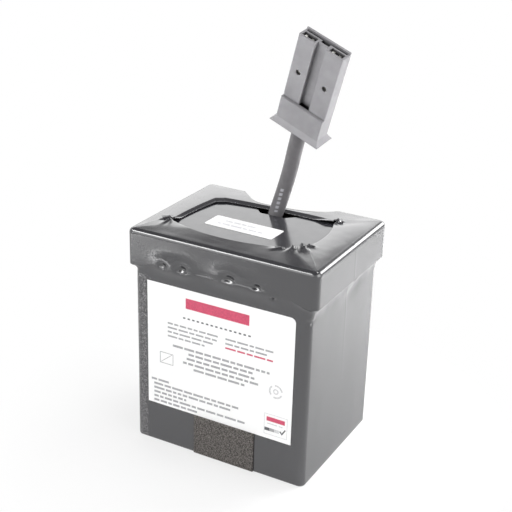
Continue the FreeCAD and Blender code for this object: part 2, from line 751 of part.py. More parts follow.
def top_cap():
    """Moulded cap: raised rim, recessed deck, notch for the cord, side ribs and cross posts."""
    body = new_body("top_cap")
    outline = new_sketch(body, offset=cap_base)
    rectangle(outline, cap_width, cap_depth)
    pad(body, outline, s.cap_skirt)
    round_edges(body, s.cap_corner, lambda middle, run: (
        upright(run) or middle.z > float(cap_top) - TINY))
    inner_width = cap_width - 2 * s.cap_wall
    inner_depth = cap_depth - 2 * s.cap_wall
    hollow = new_sketch(body, offset=cap_base)
    rectangle(hollow, inner_width, inner_depth)
    pocket(body, hollow, deck_under - cap_base, reverse=True)
    deck = new_sketch(body, offset=cap_top)
    rectangle(deck, cap_width - 2 * s.deck_inset, cap_depth - 2 * s.deck_inset)
    pocket(body, deck, s.deck_recess)
    deck_edge = float(cap_width) / 2 - float(s.deck_inset)
    round_edges(body, s.deck_corner, lambda middle, run: (
        upright(run) and abs(abs(middle.x) - deck_edge) < TINY and middle.z > float(deck_top)))
    notch = new_sketch(body, offset=cap_top)
    rear = cap_depth / 2
    reach = s.notch_floor / 2 + s.notch_depth + 1
    polygon(notch, [(s.notch_x - s.notch_floor / 2, notch_front),
                    (s.notch_x + s.notch_floor / 2, notch_front),
                    (s.notch_x + reach, rear + 1), (s.notch_x - reach, rear + 1)])
    pocket(body, notch, s.notch_drop)
    rib_reach = s.cap_side_gap - s.rib_gap
    boss_row = inner_depth / 2 - s.boss_inset
    for side in (-1, 1):
        rib = new_sketch(body, offset=deck_under)
        rectangle(rib, rib_reach, s.rib_thickness, x=side * (inner_width - rib_reach) / 2,
                  y=-s.rib_spacing)
        first = pad(body, rib, deck_under - cap_base - s.cap_wall, reverse=True)
        repeat(body, first, s.rib_spacing, 3, axis="Y_Axis")
        for boss_x, boss_y in ((s.boss_x, -boss_row), (s.boss_x + s.rib_spacing / 2, boss_row)):
            boss = new_sketch(body, offset=deck_under)
            cross(boss, s.boss_span, s.rib_thickness, side * boss_x, boss_y)
            pad(body, boss, s.head_room, reverse=True)
    return body


# ---------------------------------------------------------------- sleeve

def sleeve_form(label, inset):
    """The sleeve's outer form, drawn in by inset: rim, flared waist and straight body."""
    body = new_body(label)
    low = as_size(inset)
    top = sleeve_top - inset
    rim_size = (rim_width - 2 * inset, rim_depth - 2 * inset)
    rim_corner = s.cap_corner + film_out - inset
    body_outline = (sleeve_width - 2 * inset, sleeve_depth - 2 * inset,
                    s.case_corner + film_out - inset)
    rim = new_sketch(body, offset=rim_base)
    rectangle(rim, *rim_size)
    pad(body, rim, top - rim_base)
    round_edges(body, rim_corner, lambda middle, run: (
        upright(run) or middle.z > float(top) - TINY))
    narrow = new_sketch(body, offset=waist)
    rounded_rectangle(narrow, *body_outline)
    wide = new_sketch(body, offset=rim_base)
    rounded_rectangle(wide, *rim_size, rim_corner)
    loft(body, narrow, wide)
    lower = new_sketch(body, offset=low)
    rounded_rectangle(lower, *body_outline)
    pad(body, lower, waist - low)
    return body


def dip_into_notch(body, inset):
    """The film sags between the notch's edges, from nothing at the lip to its depth behind."""
    above = sleeve_top + 2 * s.lip_rise
    spread = (s.notch_floor / 2 + s.notch_depth - s.dip_inset - s.dip_floor / 2) / s.dip_depth
    sections = []
    for y, drop, floor in ((s.dip_start + inset, s.film_gap, s.notch_floor / 2),
                           (rim_depth / 2 + 1, s.dip_depth, s.dip_floor / 2)):
        level = sleeve_top - inset - drop
        mouth = floor + spread * (above - level)
        section = new_sketch(body, "XZ_Plane", offset=-y)
        polygon(section, [(s.notch_x - floor, level), (s.notch_x + floor, level),
                          (s.notch_x + mouth, above), (s.notch_x - mouth, above)])
        sections.append(section)
    loft(body, *sections, kind="Subtractive")


def opening_corners(grow):
    left, right = s.opening_left + grow, s.opening_right + grow
    front, rear = s.opening_front + grow, s.opening_rear + grow
    return [(-left, -front), (right, -front), (right, rear), (-left, rear)]


def over_opening(body, base, height, grow):
    """Block over the sleeve's opening, larger all round by grow."""
    outline = new_sketch(body, offset=base)
    bowed_outline(outline, opening_corners(grow),
                  (s.front_bow, s.right_bow, s.rear_bow, s.left_bow))
    pad(body, outline, height)
    round_edges(body, s.opening_corner + grow, lambda middle, run: (
        upright(run) and abs(middle.y) < float(s.opening_rear + s.rear_bow)))


def pleats():
    """The film's gathers: low ridges that fan out from each corner of the opening."""
    folds = []
    centres = opening_corners(-s.opening_corner)
    for corner, (x, y) in enumerate(centres):
        for number in range(int(float(s.pleat_count))):
            share = SHORT_PLEAT if number % 2 else 1
            fold = doc.addObject("Part::Wedge", f"pleat_{corner}_{number}")
            inner_end = s.opening_corner - s.lip_width
            for prop, size in (("Xmax", inner_end + s.pleat_length * share), ("Xmin", inner_end),
                               ("X2max", inner_end), ("X2min", inner_end),
                               ("Ymax", s.pleat_height * share + s.film_thick / 2), ("Ymin", 0),
                               ("Zmax", s.pleat_width / 2), ("Zmin", -s.pleat_width / 2),
                               ("Z2max", 0), ("Z2min", 0)):
                bind(fold, prop, size)
            step = s.pleat_spread / (s.pleat_count - 1)
            turn = FIRST_CORNER + QUARTER_TURN * corner + step * number - s.pleat_spread / 2
            fold.setExpression("Placement", PLACEMENT.format(
                as_size(x).text, as_size(y).text, (sleeve_top - s.film_thick / 2).text,
                turn.text, 0, 90))
            folds.append(fold)
    return folds


def shrink_sleeve():
    """Film shell: the outer form less the form one film inside it and both openings."""
    outer = sleeve_form("sleeve_outside", 0)
    over_opening(outer, sleeve_top, s.lip_rise, s.lip_width)
    inner = sleeve_form("sleeve_inside", s.film_thick)
    for form, inset in ((outer, 0), (inner, s.film_thick)):
        dip_into_notch(form, inset)
    openings = new_body("sleeve_openings", separate=True)
    over_opening(openings, deck_top, film_out + s.deck_recess + s.pleat_height, 0)
    base = new_sketch(openings, offset=s.film_thick * 2)
    rectangle(base, sleeve_width - 2 * s.base_flange, sleeve_depth - 2 * s.base_flange)
    pad(openings, base, s.film_thick * 3, reverse=True)
    round_edges(openings, s.base_corner, lambda middle, run: (
        upright(run) and middle.z < float(s.film_thick)))
    gathered = join("gathered_film", [outer, *pleats()])
    return cut("shrink_sleeve", gathered, join("sleeve_void", [inner, openings]))


# ---------------------------------------------------------------- labels and pad

def front_label():
    body = new_body("front_label")
    sheet = new_sketch(body, "XZ_Plane", offset=sleeve_depth / 2)
    rectangle(sheet, sleeve_width - 2 * s.label_margin, label_top - s.label_base,
              y=(label_top + s.label_base) / 2)
    pad(body, sheet, s.label_thickness)
    round_edges(body, s.label_corner, lambda middle, run: (
        along_y(run) and middle.z > float(label_top) - TINY and middle.x > 0))
    return body


def foam_pad():
    """Soft pad stuck on below the label, down to the base."""
    body = new_body("foam_pad")
    height = s.label_base - s.pad_rise
    block = new_sketch(body, "XZ_Plane", offset=sleeve_depth / 2)
    rectangle(block, s.pad_width, height, x=s.pad_x, y=s.pad_rise + height / 2)
    pad(body, block, s.pad_thickness)
    middle_z = float(s.pad_rise + height / 2)
    round_edges(body, s.pad_corner, lambda middle, run: (
        along_y(run) and middle.z < middle_z and middle.x < float(s.pad_x)))
    return body


def deck_sticker():
    body = new_body("deck_sticker")
    sheet = new_sketch(body)
    rectangle(sheet, s.sticker_length, s.sticker_width)
    pad(body, sheet, s.label_thickness)
    round_edges(body, s.sticker_corner, lambda middle, run: upright(run))
    body.setExpression("Placement", PLACEMENT.format(
        s.sticker_x.text, s.sticker_y.text, deck_top.text, s.sticker_turn.text, 0, 0))
    return body


# ---------------------------------------------------------------- connector

def on_plug(obj):
    """Move a piece drawn in the connector's own frame to the connector's place."""
    obj.setExpression("Placement", PLACEMENT.format(*(size.text for size in plug_place)))
    return obj


def connector_housing():
    """One moulding: two rails with contact cells, rear wall, collar and flared base.

    Its own frame: Z along the cord to the mating end, X across the rails, Y to the rear.
    """
    body = new_body("connector_housing")
    collar_depth = plug_rear - plug_front + s.collar_step
    rails = new_sketch(body)
    rectangle(rails, s.plug_width, s.plug_depth, y=(plug_front + plug_rear) / 2)
    pad(body, rails, s.plug_length)
    rear = new_sketch(body)
    rectangle(rear, s.plug_width, s.rear_wall, y=plug_rear - s.rear_wall / 2)
    pad(body, rear, s.plug_length + s.rear_rise)
    collar = new_sketch(body)
    rectangle(collar, s.plug_width, collar_depth)
    pad(body, collar, s.collar_length)
    side = float(s.plug_width) / 2 - TINY
    round_edges(body, s.plug_corner, lambda middle, run: upright(run) and abs(middle.x) > side)
    narrow = new_sketch(body, offset=s.flange_height)
    rectangle(narrow, s.plug_width, collar_depth)
    middle = new_sketch(body, offset=s.flange_height * 0.4)
    rectangle(middle, s.plug_width + s.flange_out, collar_depth + s.flange_out)
    wide = new_sketch(body)
    rectangle(wide, s.plug_width + 2 * s.flange_out, collar_depth + 2 * s.flange_out)
    loft(body, narrow, middle, wide)
    channel = new_sketch(body, offset=s.plug_length)
    rectangle(channel, s.channel_width, s.channel_depth * 2, y=plug_front)
    pocket(body, channel, s.plug_length - s.collar_length)
    mating_end(body)
    cord_end(body)
    return body


def mating_end(body):
    """Contact cells, latch slot, key pocket and the lance holes of the connector."""
    cells = new_sketch(body, offset=s.plug_length)
    for side in (-1, 1):
        rectangle(cells, s.cell_width, s.cell_depth, x=side * rail_x, y=cell_y)
    pocket(body, cells, s.plug_length - s.collar_length)
    slot_front = plug_rear - s.rear_wall - s.slot_depth
    slot = new_sketch(body, offset=s.plug_length)
    rectangle(slot, s.slot_width, s.slot_depth, y=slot_front + s.slot_depth / 2)
    pocket(body, slot, s.slot_length)
    key_front = plug_front + s.channel_depth + s.key_wall
    key = new_sketch(body, offset=s.plug_length)
    rectangle(key, s.key_width, slot_front + s.slot_depth - key_front,
              y=(slot_front + s.slot_depth + key_front) / 2)
    pocket(body, key, s.key_length)
    lances = new_sketch(body, "XZ_Plane", offset=-plug_front)
    for side in (-1, 1):
        circle(lances, s.lance_hole, x=side * rail_x, y=s.plug_length - s.lance_from_end)
    pocket(body, lances, s.front_wall + s.cell_depth / 2)


def cord_end(body):
    """Bore for the cord, and the chamber where its cores spread to their cells."""
    entry = new_sketch(body)
    circle(entry, s.cord_diameter + 2 * s.entry_gap)
    pocket(body, entry, s.cord_entry, reverse=True)
    chamber = new_sketch(body, offset=s.cord_entry)
    rectangle(chamber, s.chamber_width, s.chamber_depth)
    pocket(body, chamber, s.collar_length - s.cord_entry, reverse=True)


def contact(label, side):
    """Folded contact: a U-shaped spring channel in its cell, on the end of its core."""
    body = new_body(label)
    outside = new_sketch(body, offset=contact_base)
    rectangle(outside, s.contact_width, s.contact_depth, x=side * rail_x, y=cell_y)
    pad(body, outside, s.contact_length)
    inside = new_sketch(body, offset=contact_base)
    rectangle(inside, s.contact_width - 2 * s.contact_sheet, s.contact_depth - s.contact_sheet,
              x=side * rail_x, y=cell_y + s.contact_sheet / 2)
    pocket(body, inside, s.contact_length, reverse=True)
    return on_plug(body)


def core(label, side):
    """One core inside the connector: from the cord's end, out to its cell and up to its contact."""
    body = new_body(label)
    sections = []
    for level, x, y in ((s.cord_entry, side * s.core_spacing / 2, 0),
                        (s.collar_length, side * rail_x, cell_y),
                        (contact_base, side * rail_x, cell_y)):
        section = new_sketch(body, offset=level)
        circle(section, s.core_diameter, x=x, y=y)
        sections.append(section)
    loft(body, *sections)
    return on_plug(body)


def cord_jacket():
    """The cord's jacket, from the notch to its seat in the connector."""
    x, y, z, *turns = (float(size) for size in plug_place)
    plug = Placement(Vector(x, y, z), Rotation(*turns))
    ends = [plug.multVec(Vector(0, 0, level)) for level in (-CORD_LAST_RUN, float(s.cord_entry))]
    return tube("cord_jacket", arc_route(cord_points() + ends), float(s.cord_diameter))


# ---------------------------------------------------------------- build and export

def build():
    tabs = [terminal_tab("positive_tab", -1), terminal_tab("negative_tab", 1)]
    return [
        battery_container(), battery_cover(), valve_caps(), vent_cover(),
        plate_set("positive_plates", s.positive_thickness, first_positive_x,
                  s.positive_count, -1),
        plate_set("negative_plates", s.negative_thickness, first_positive_x - plate_step / 2,
                  s.positive_count + 1, 1),
        glass_mats(), cell_connectors(),
        end_post("positive_post", -1), end_post("negative_post", 1),
        *tabs, terminal_potting(tabs),
        receptacle("positive_receptacle", -1), receptacle("negative_receptacle", 1),
        boot("positive_boot", -1), boot("negative_boot", 1),
        lead("red_lead", -1), lead("black_lead", 1),
        top_cap(), shrink_sleeve(), front_label(), foam_pad(), deck_sticker(),
        cord_jacket(), on_plug(connector_housing()),
        contact("positive_contact", -1), contact("negative_contact", 1),
        core("red_core", -1), core("black_core", 1),
    ]


def check(pieces):
    """Stop if any feature failed, or any piece is empty or invalid."""
    doc.recompute()
    failed = [item.Label for item in doc.Objects
              if "Invalid" in item.State or "Error" in item.State]
    failed += [piece.Label for piece in pieces
               if piece.Shape.isNull() or not piece.Shape.isValid() or not piece.Shape.Solids]
    if failed:
        raise ValueError("failed: " + ", ".join(failed))


def export(pieces):
    os.makedirs("parts", exist_ok=True)
    for piece in pieces:
        piece.Shape.exportStep(f"parts/{piece.Label}.step")
        print(f"{piece.Label}: {len(piece.Shape.Solids)} solids, {piece.Shape.Volume:.0f} mm3")


finished = build()
check(finished)
export(finished)
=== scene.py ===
"""Looks of the battery cartridge: film, print, foam, cord, finishes, light and camera."""
import json
import math
import random

import bpy
import numpy as np
from mathutils import Matrix, Vector, noise

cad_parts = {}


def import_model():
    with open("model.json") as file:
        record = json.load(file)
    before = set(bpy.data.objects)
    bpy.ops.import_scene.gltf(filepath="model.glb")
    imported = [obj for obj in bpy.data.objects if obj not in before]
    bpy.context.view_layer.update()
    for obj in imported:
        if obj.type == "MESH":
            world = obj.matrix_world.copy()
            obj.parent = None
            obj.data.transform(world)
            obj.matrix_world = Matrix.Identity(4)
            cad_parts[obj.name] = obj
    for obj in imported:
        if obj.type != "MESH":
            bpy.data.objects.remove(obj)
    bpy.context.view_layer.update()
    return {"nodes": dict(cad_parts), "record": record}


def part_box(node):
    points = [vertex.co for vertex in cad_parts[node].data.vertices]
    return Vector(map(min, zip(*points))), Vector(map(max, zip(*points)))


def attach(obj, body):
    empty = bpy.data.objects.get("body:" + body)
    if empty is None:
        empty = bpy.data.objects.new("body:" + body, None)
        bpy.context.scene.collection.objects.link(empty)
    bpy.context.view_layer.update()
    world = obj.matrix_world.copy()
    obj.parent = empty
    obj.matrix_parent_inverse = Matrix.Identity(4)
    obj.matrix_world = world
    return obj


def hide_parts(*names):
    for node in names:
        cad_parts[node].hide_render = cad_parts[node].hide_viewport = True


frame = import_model()

# Forms are drawn in millimetres of the CAD frame: X right, Y to the rear, Z up.
MM = 0.001

# The cord as in the part's source: the control points of its spline, and its sizes.
CORD_ROUTE = [(-1.9, 19.7, 106.4), (3.1, 21.6, 124.4), (7.9, 19.4, 144.5), (11.8, 16.3, 155.2)]
CORD_DIAMETER = 7.2
CORD_LEAN = 0.26         # sideways run of the cord's foot for its climb
FILM_RISE = 0.3          # of the film over the cap's edge


def mm_box(node):
    """A CAD node's lowest and highest corners in millimetres."""
    return [np.array(corner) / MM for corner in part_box(node)]


rim_high = mm_box("shrink_sleeve")[1]
case_high = mm_box("battery_container")[1]
cap_low, cap_high = mm_box("top_cap")
label_low, label_high = mm_box("front_label")
sticker_low, sticker_high = mm_box("deck_sticker")
pad_low, pad_high = mm_box("foam_pad")

wall_gap = -label_high[1] - case_high[1]     # from the battery's case to the film's face
body_half = case_high[:2] + wall_gap
rim_half = rim_high[:2]
film_top = cap_high[2] + FILM_RISE


# ---------------------------------------------------------------- helpers

def smooth(value, start, end):
    """0 at start, 1 at end, with an even slope between."""
    t = np.clip((value - start) / (end - start), 0.0, 1.0)
    return t * t * (3 - 2 * t)


def bell(value, middle, width):
    """1 at middle, falling off evenly on both sides."""
    return np.exp(-((value - middle) / width) ** 2)


def add_piece(name, points, faces, material, smooth_shading=True):
    """Mesh piece from points in millimetres, riding on the object."""
    mesh = bpy.data.meshes.new(name)
    mesh.from_pydata([tuple(point) for point in np.asarray(points) * MM], [], faces)
    mesh.validate()
    piece = bpy.data.objects.new(name, mesh)
    bpy.context.scene.collection.objects.link(piece)
    mesh.materials.append(material)
    mesh.polygons.foreach_set("use_smooth", [smooth_shading] * len(mesh.polygons))
    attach(piece, "root")
    return piece


def grid_faces(rows, columns):
    """Quads of a closed band of rings: row by row, wrapping round."""
    faces = []
    for row in range(rows - 1):
        for column in range(columns):
            after = (column + 1) % columns
            faces.append((row * columns + column, row * columns + after,
                          (row + 1) * columns + after, (row + 1) * columns + column))
    return faces


# ---------------------------------------------------------------- finishes

class Finish:
    """Node material round one Principled shader, with helpers for grain, tints, roughness and bump.
    """

    def __init__(self, name, color, roughness, metallic=0.0, ior=1.5, coat=0.0,
                 coat_roughness=0.1):
        self.material = bpy.data.materials.new(name)
        self.material.use_nodes = True
        self.tree = self.material.node_tree
        self.shader = self.tree.nodes["Principled BSDF"]
        self.color = color
        self.set("Base Color", (*color, 1))
        self.set("Roughness", roughness)
        self.set("Metallic", metallic)
        self.set("IOR", ior)
        self.set("Coat Weight", coat)
        self.set("Coat Roughness", coat_roughness)
        self.place = self.node("ShaderNodeTexCoord").outputs["Object"]
        self.normal = None

    def set(self, socket, value):
        """Give the shader's own socket a constant."""
        self.shader.inputs[socket].default_value = value

    def node(self, kind, **inputs):
        """New node with its inputs set, or linked where a value is a socket."""
        made = self.tree.nodes.new(kind)
        for key, value in inputs.items():
            socket = made.inputs[key.replace("_", " ")]
            if isinstance(value, bpy.types.NodeSocket):
                self.tree.links.new(value, socket)
            else:
                socket.default_value = value
        return made

    def join(self, output, node, socket):
        self.tree.links.new(output, node.inputs[socket])

    def scaled(self, stretch):
        """Object coordinates with each axis scaled."""
        mapping = self.node("ShaderNodeMapping", Scale=stretch)
        self.join(self.place, mapping, "Vector")
        return mapping.outputs["Vector"]

    def grain(self, size, detail=3.0, stretch=(1, 1, 1), roughness=0.5):
        """Noise with grains of about that size in millimetres."""
        made = self.node("ShaderNodeTexNoise", Scale=1 / (size * MM), Detail=detail,
                         Roughness=roughness)
        self.join(self.scaled(stretch), made, "Vector")
        return made.outputs["Fac"]

    def ramp(self, value, *stops):
        """Grey ramp: stops are (place, level)."""
        made = self.node("ShaderNodeValToRGB")
        self.join(value, made, "Fac")
        elements = made.color_ramp.elements
        while len(elements) < len(stops):
            elements.new(0.5)
        for element, (position, level) in zip(elements, stops):
            element.position = position
            element.color = (level, level, level, 1)
        return made.outputs["Color"]

    def math(self, operation, first, second=0.0):
        """Result of one math node on sockets or numbers."""
        made = self.tree.nodes.new("ShaderNodeMath")
        made.operation = operation
        for index, value in enumerate((first, second)):
            if isinstance(value, bpy.types.NodeSocket):
                self.tree.links.new(value, made.inputs[index])
            else:
                made.inputs[index].default_value = value
        return made.outputs[0]

    def axis(self, name):
        """One object coordinate in millimetres."""
        split = self.node("ShaderNodeSeparateXYZ")
        self.join(self.place, split, "Vector")
        return self.math("MULTIPLY", split.outputs[name], 1 / MM)

    def between(self, value, low, high, edge=0.5):
        """1 where value lies between low and high, with soft edges."""
        rise = self.node("ShaderNodeMapRange", From_Min=low - edge, From_Max=low + edge)
        self.join(value, rise, "Value")
        fall = self.node("ShaderNodeMapRange", From_Min=high - edge, From_Max=high + edge,
                         To_Min=1.0, To_Max=0.0)
        self.join(value, fall, "Value")
        return self.math("MULTIPLY", rise.outputs[0], fall.outputs[0])

    def tint(self, value, low, high):
        """Base colour from one shade to another by value."""
        made = self.tree.nodes.new("ShaderNodeMix")
        made.data_type = "RGBA"
        self.tree.links.new(value, made.inputs["Factor"])
        for socket, color in (("A", low), ("B", high)):
            target = next(item for item in made.inputs
                          if item.name == socket and item.type == "RGBA")
            if isinstance(color, bpy.types.NodeSocket):
                self.tree.links.new(color, target)
            else:
                target.default_value = (*color, 1)
        output = next(item for item in made.outputs if item.type == "RGBA")
        self.join(output, self.shader, "Base Color")
        return output

    def mottle(self, size, spread, stretch=(1, 1, 1)):
        """Base colour that wanders by a share either way."""
        low = tuple(part * (1 - spread) for part in self.color)
        high = tuple(part * (1 + spread) for part in self.color)
        return self.tint(self.ramp(self.grain(size, stretch=stretch), (0.35, 0), (0.65, 1)),
                         low, high)

    def wander_roughness(self, value, low, high):
        """Roughness that wanders between two levels with value."""
        made = self.node("ShaderNodeMapRange", From_Min=0.3, From_Max=0.7, To_Min=low,
                         To_Max=high)
        self.join(value, made, "Value")
        self.join(made.outputs[0], self.shader, "Roughness")

    def bump(self, height, depth, strength=1.0):
        """Add a bump of that depth in millimetres over what is there."""
        made = self.node("ShaderNodeBump", Strength=strength, Distance=depth * MM)
        self.join(height, made, "Height")
        if self.normal is not None:
            self.join(self.normal, made, "Normal")
        self.normal = made.outputs["Normal"]
        self.join(self.normal, self.shader, "Normal")


# Pits under the cap's edge: x, z, depth, half width, half height.
FRONT_PITS = ((-28.6, 94.6, 1.6, 2.4, 1.6), (-18.8, 95.0, 2.1, 3.0, 2.0),
              (5.6, 96.2, 2.1, 3.4, 1.9), (19.4, 95.7, 1.6, 2.8, 1.6),
              (27.4, 92.0, 0.8, 1.2, 0.7), (-6.5, 94.9, 0.4, 6.0, 0.7),
              (12.8, 95.6, 0.4, 4.0, 0.7))
FILM_ROOM = 0.45         # how far the film can be pressed in over the cap
SHADED_PIT = 0.65        # pits deeper than this many millimetres hold a shadow
SHADE_DROP = 0.3         # how far under a pit's middle its shadow lies
CRAZED_LEFT, CRAZED_TOP = -44.6, 86.0
FRONT_FACE = (-36.6, -34.0)            # depths between which a place is on the front wall
DUST_SHARE, FLECK_AND_GLINT_SHARE = 0.10, 0.45   # how much dust, and crazing with its painted glints, pale the film
DUST_AND_GLINT_COLOR = (0.34, 0.32, 0.33)
SHADE_COLOR = (0.003, 0.003, 0.003)


def film_finish():
    """Black shrink film: glossy, faintly rippled, dusty, crazed down its front left edge with
    painted glints in the crazing, and painted shade in its deeper pits.
    """
    finish = Finish("black_film_finish", (0.031, 0.031, 0.035), 0.16, ior=1.85)
    across, back, up = (finish.axis(name) for name in "XYZ")
    dust = finish.ramp(finish.grain(0.45, detail=1.0), (0.70, 0), (0.76, 1))
    strip = finish.math("MULTIPLY", finish.between(across, CRAZED_LEFT, label_low[0] - 0.4, 0.7),
                        finish.between(up, 0.0, CRAZED_TOP, 1.0))
    front = finish.between(back, *FRONT_FACE, 0.4)
    crazed = finish.math("MULTIPLY", strip, front)
    # painted glints: the pale flecks down the crazed front left edge are partly real crazing and
    # partly painted highlights of the crinkled film
    flecks = finish.ramp(finish.grain(0.55, detail=2.0), (0.50, 0), (0.62, 1))
    shade = 0.0
    for pit_x, pit_z, depth, half_width, half_height in FRONT_PITS:
        if depth > SHADED_PIT:
            off_x = finish.math("DIVIDE", finish.math("SUBTRACT", across, pit_x), half_width)
            off_z = finish.math("DIVIDE", finish.math("SUBTRACT", up, pit_z - SHADE_DROP),
                                half_height)
            away = finish.math("ADD", finish.math("POWER", off_x, 2),
                               finish.math("POWER", off_z, 2))
            shade = finish.math("MAXIMUM", shade, finish.ramp(away, (0.2, 1), (1.0, 0)))
    shade = finish.math("MULTIPLY", shade, front)
    light = finish.math("ADD", finish.math("MULTIPLY", dust, DUST_SHARE),
                        finish.math("MULTIPLY", finish.math("MULTIPLY", crazed, flecks),
                                    FLECK_AND_GLINT_SHARE))
    plain = finish.tint(light, finish.color, DUST_AND_GLINT_COLOR)
    finish.tint(shade, plain, SHADE_COLOR)
    finish.wander_roughness(finish.grain(9.0), 0.12, 0.2)
    finish.bump(finish.grain(5.0, detail=2.0, stretch=(1, 1, 0.25)), 0.012, 0.6)
    finish.bump(finish.math("MULTIPLY", crazed, finish.grain(0.7, detail=3.0)), 0.35)
    return finish.material


PAINTED_SHADE_REACH = 6         # millimetres over which painted shade darkens a moulding's cavities
PAINTED_SHADE_SHARE = 0.15      # share of its colour that the painted shade leaves there


def moulded_finish(name, color, roughness, texture=0.3, edge=0.15):
    """Moulded plastic: rounded edges, painted shade in its cavities, a fine skin and slight random
    changes of tone.
    """
    finish = Finish(name, color, roughness)
    surface = finish.mottle(6.0, 0.06)
    # painted shade: ambient occlusion darkens the colour in cavities and recesses, where shade
    # falls
    depth = finish.node("ShaderNodeAmbientOcclusion", Distance=PAINTED_SHADE_REACH * MM)
    finish.tint(finish.ramp(depth.outputs["AO"], (0.25, 0), (0.7, 1)),
                tuple(part * PAINTED_SHADE_SHARE for part in color), surface)
    finish.normal = finish.node("ShaderNodeBevel", Radius=edge * MM).outputs["Normal"]
    finish.wander_roughness(finish.grain(4.0), roughness * 0.85, roughness * 1.15)
    finish.bump(finish.grain(texture, detail=2.0), 0.02, 0.5)
    return finish.material


def deck_finish():
    """Gloss cap moulding with faint flow marks."""
    finish = Finish("cap_finish", (0.032, 0.032, 0.037), 0.16, ior=1.55)
    finish.mottle(12.0, 0.08)
    finish.wander_roughness(finish.grain(6.0), 0.12, 0.2)
    finish.bump(finish.grain(7.0, detail=2.0), 0.02, 0.5)
    return finish.material


def metal_finish(name, color, roughness):
    """Bare metal, a little uneven in shade and polish."""
    finish = Finish(name, color, roughness, metallic=1.0)
    finish.mottle(1.5, 0.12)
    finish.wander_roughness(finish.grain(1.0), roughness * 0.8, roughness * 1.3)
    finish.bump(finish.grain(0.4), 0.02)
    return finish.material


def porous_finish(name, color, grain, depth):
    """Pasted plates, glass mat and other rough matt stuff."""
    finish = Finish(name, color, 0.9)
    finish.mottle(grain * 3, 0.2)
    finish.bump(finish.grain(grain, detail=4.0), depth)
    return finish.material


def paper_finish():
    """White semi-gloss label stock."""
    finish = Finish("label_paper_finish", (0.93, 0.93, 0.93), 0.45)
    finish.mottle(8.0, 0.008)
    finish.bump(finish.grain(0.6), 0.004, 0.4)
    return finish.material


def ink_finish(name, color):
    """Flat print, slightly mottled."""
    finish = Finish(name, color, 0.5)
    finish.mottle(0.6, 0.12)
    return finish.material


def foam_finish():
    """Open foam: dark brown grey with pale flecks."""
    finish = Finish("foam_finish", (0.075, 0.068, 0.064), 0.95)
    coarse = finish.grain(0.7, detail=4.0, roughness=0.7)
    flecks = finish.ramp(coarse, (0.42, 0), (0.68, 1))
    finish.tint(flecks, (0.04, 0.036, 0.034), (0.25, 0.23, 0.215))
    finish.bump(coarse, 0.45)
    return finish.material


MARK_ACROSS = (0.88, 0.47)             # direction across the cord's face, right and back
MARK_SIDES = (-1.3, 0.2)               # the marks' edges across the cord
MARK_ENDS = (3.0, 15.5)                # first and last height over the cord's foot
MARK_PITCH, MARK_GAP = 1.1, 0.45       # half a mark's step, and half the gap in it
MARK_COLOR = (0.42, 0.42, 0.45)


def cord_finish():
    """Grey PVC jacket with a row of pale printed marks near its foot."""
    finish = Finish("cord_vinyl_finish", (0.16, 0.155, 0.162), 0.42)
    plain = finish.mottle(3.0, 0.06)
    across, back, up = (finish.axis(name) for name in "XYZ")
    climb = finish.math("SUBTRACT", up, CORD_ROUTE[0][2])
    off_x = finish.math("SUBTRACT", finish.math("SUBTRACT", across, CORD_ROUTE[0][0]),
                        finish.math("MULTIPLY", climb, CORD_LEAN))
    off_y = finish.math("SUBTRACT", back, CORD_ROUTE[0][1])
    sideways = finish.math("ADD", finish.math("MULTIPLY", off_x, MARK_ACROSS[0]),
                           finish.math("MULTIPLY", off_y, MARK_ACROSS[1]))
    marks = finish.math("GREATER_THAN", finish.math("PINGPONG", climb, MARK_PITCH), MARK_GAP)
    marks = finish.math("MULTIPLY", marks, finish.between(sideways, *MARK_SIDES, 0.25))
    marks = finish.math("MULTIPLY", marks, finish.between(climb, *MARK_ENDS, 0.1))
    finish.tint(marks, plain, MARK_COLOR)
    finish.bump(finish.grain(0.5, detail=2.0), 0.02, 0.6)
    return finish.material


finishes = {
    "black_film": film_finish(),
    "cap_plastic": deck_finish(),
    "case_plastic": moulded_finish("case_finish", (0.05, 0.05, 0.055), 0.45),
    "valve_rubber": porous_finish("valve_rubber_finish", (0.02, 0.02, 0.02), 0.3, 0.02),
    "positive_paste": porous_finish("positive_paste_finish", (0.16, 0.07, 0.04), 0.4, 0.1),
    "negative_paste": porous_finish("negative_paste_finish", (0.3, 0.3, 0.32), 0.4, 0.1),
    "glass_mat": porous_finish("glass_mat_finish", (0.8, 0.8, 0.78), 0.2, 0.1),
    "cast_lead": metal_finish("cast_lead_finish", (0.33, 0.34, 0.36), 0.5),
    "tinned_brass": metal_finish("tinned_brass_finish", (0.7, 0.68, 0.6), 0.3),
    "sealing_resin": moulded_finish("sealing_resin_finish", (0.05, 0.05, 0.05), 0.2),
    "red_vinyl": moulded_finish("red_vinyl_finish", (0.5, 0.03, 0.03), 0.4),
    "black_vinyl": moulded_finish("black_vinyl_finish", (0.03, 0.03, 0.03), 0.4),
    "cord_vinyl": cord_finish(),
    "grey_moulding": moulded_finish("grey_moulding_finish", (0.305, 0.30, 0.315), 0.42, 0.35,
                                    edge=0.4),
    "silver_contact": metal_finish("silver_contact_finish", (0.75, 0.74, 0.7), 0.3),
    "label_paper": paper_finish(),
    "foam": foam_finish(),
}


def dress_nodes():
    """Every CAD node takes the finish of its material slot."""
    for part in frame["record"]["subparts"]:
        node = frame["nodes"][part["node"]]
        node.data.materials.clear()
        node.data.materials.append(finishes[part["material_slot"]])


# ---------------------------------------------------------------- shrink sleeve

SIDE_STEPS = (150, 110, 150, 110)      # samples along the front, right, rear and left
CORNER_STEPS = 26
WALL_ROWS, LEDGE_ROWS, SKIRT_ROWS, EDGE_ROWS, ROOF_ROWS = 30, 17, 26, 9, 55
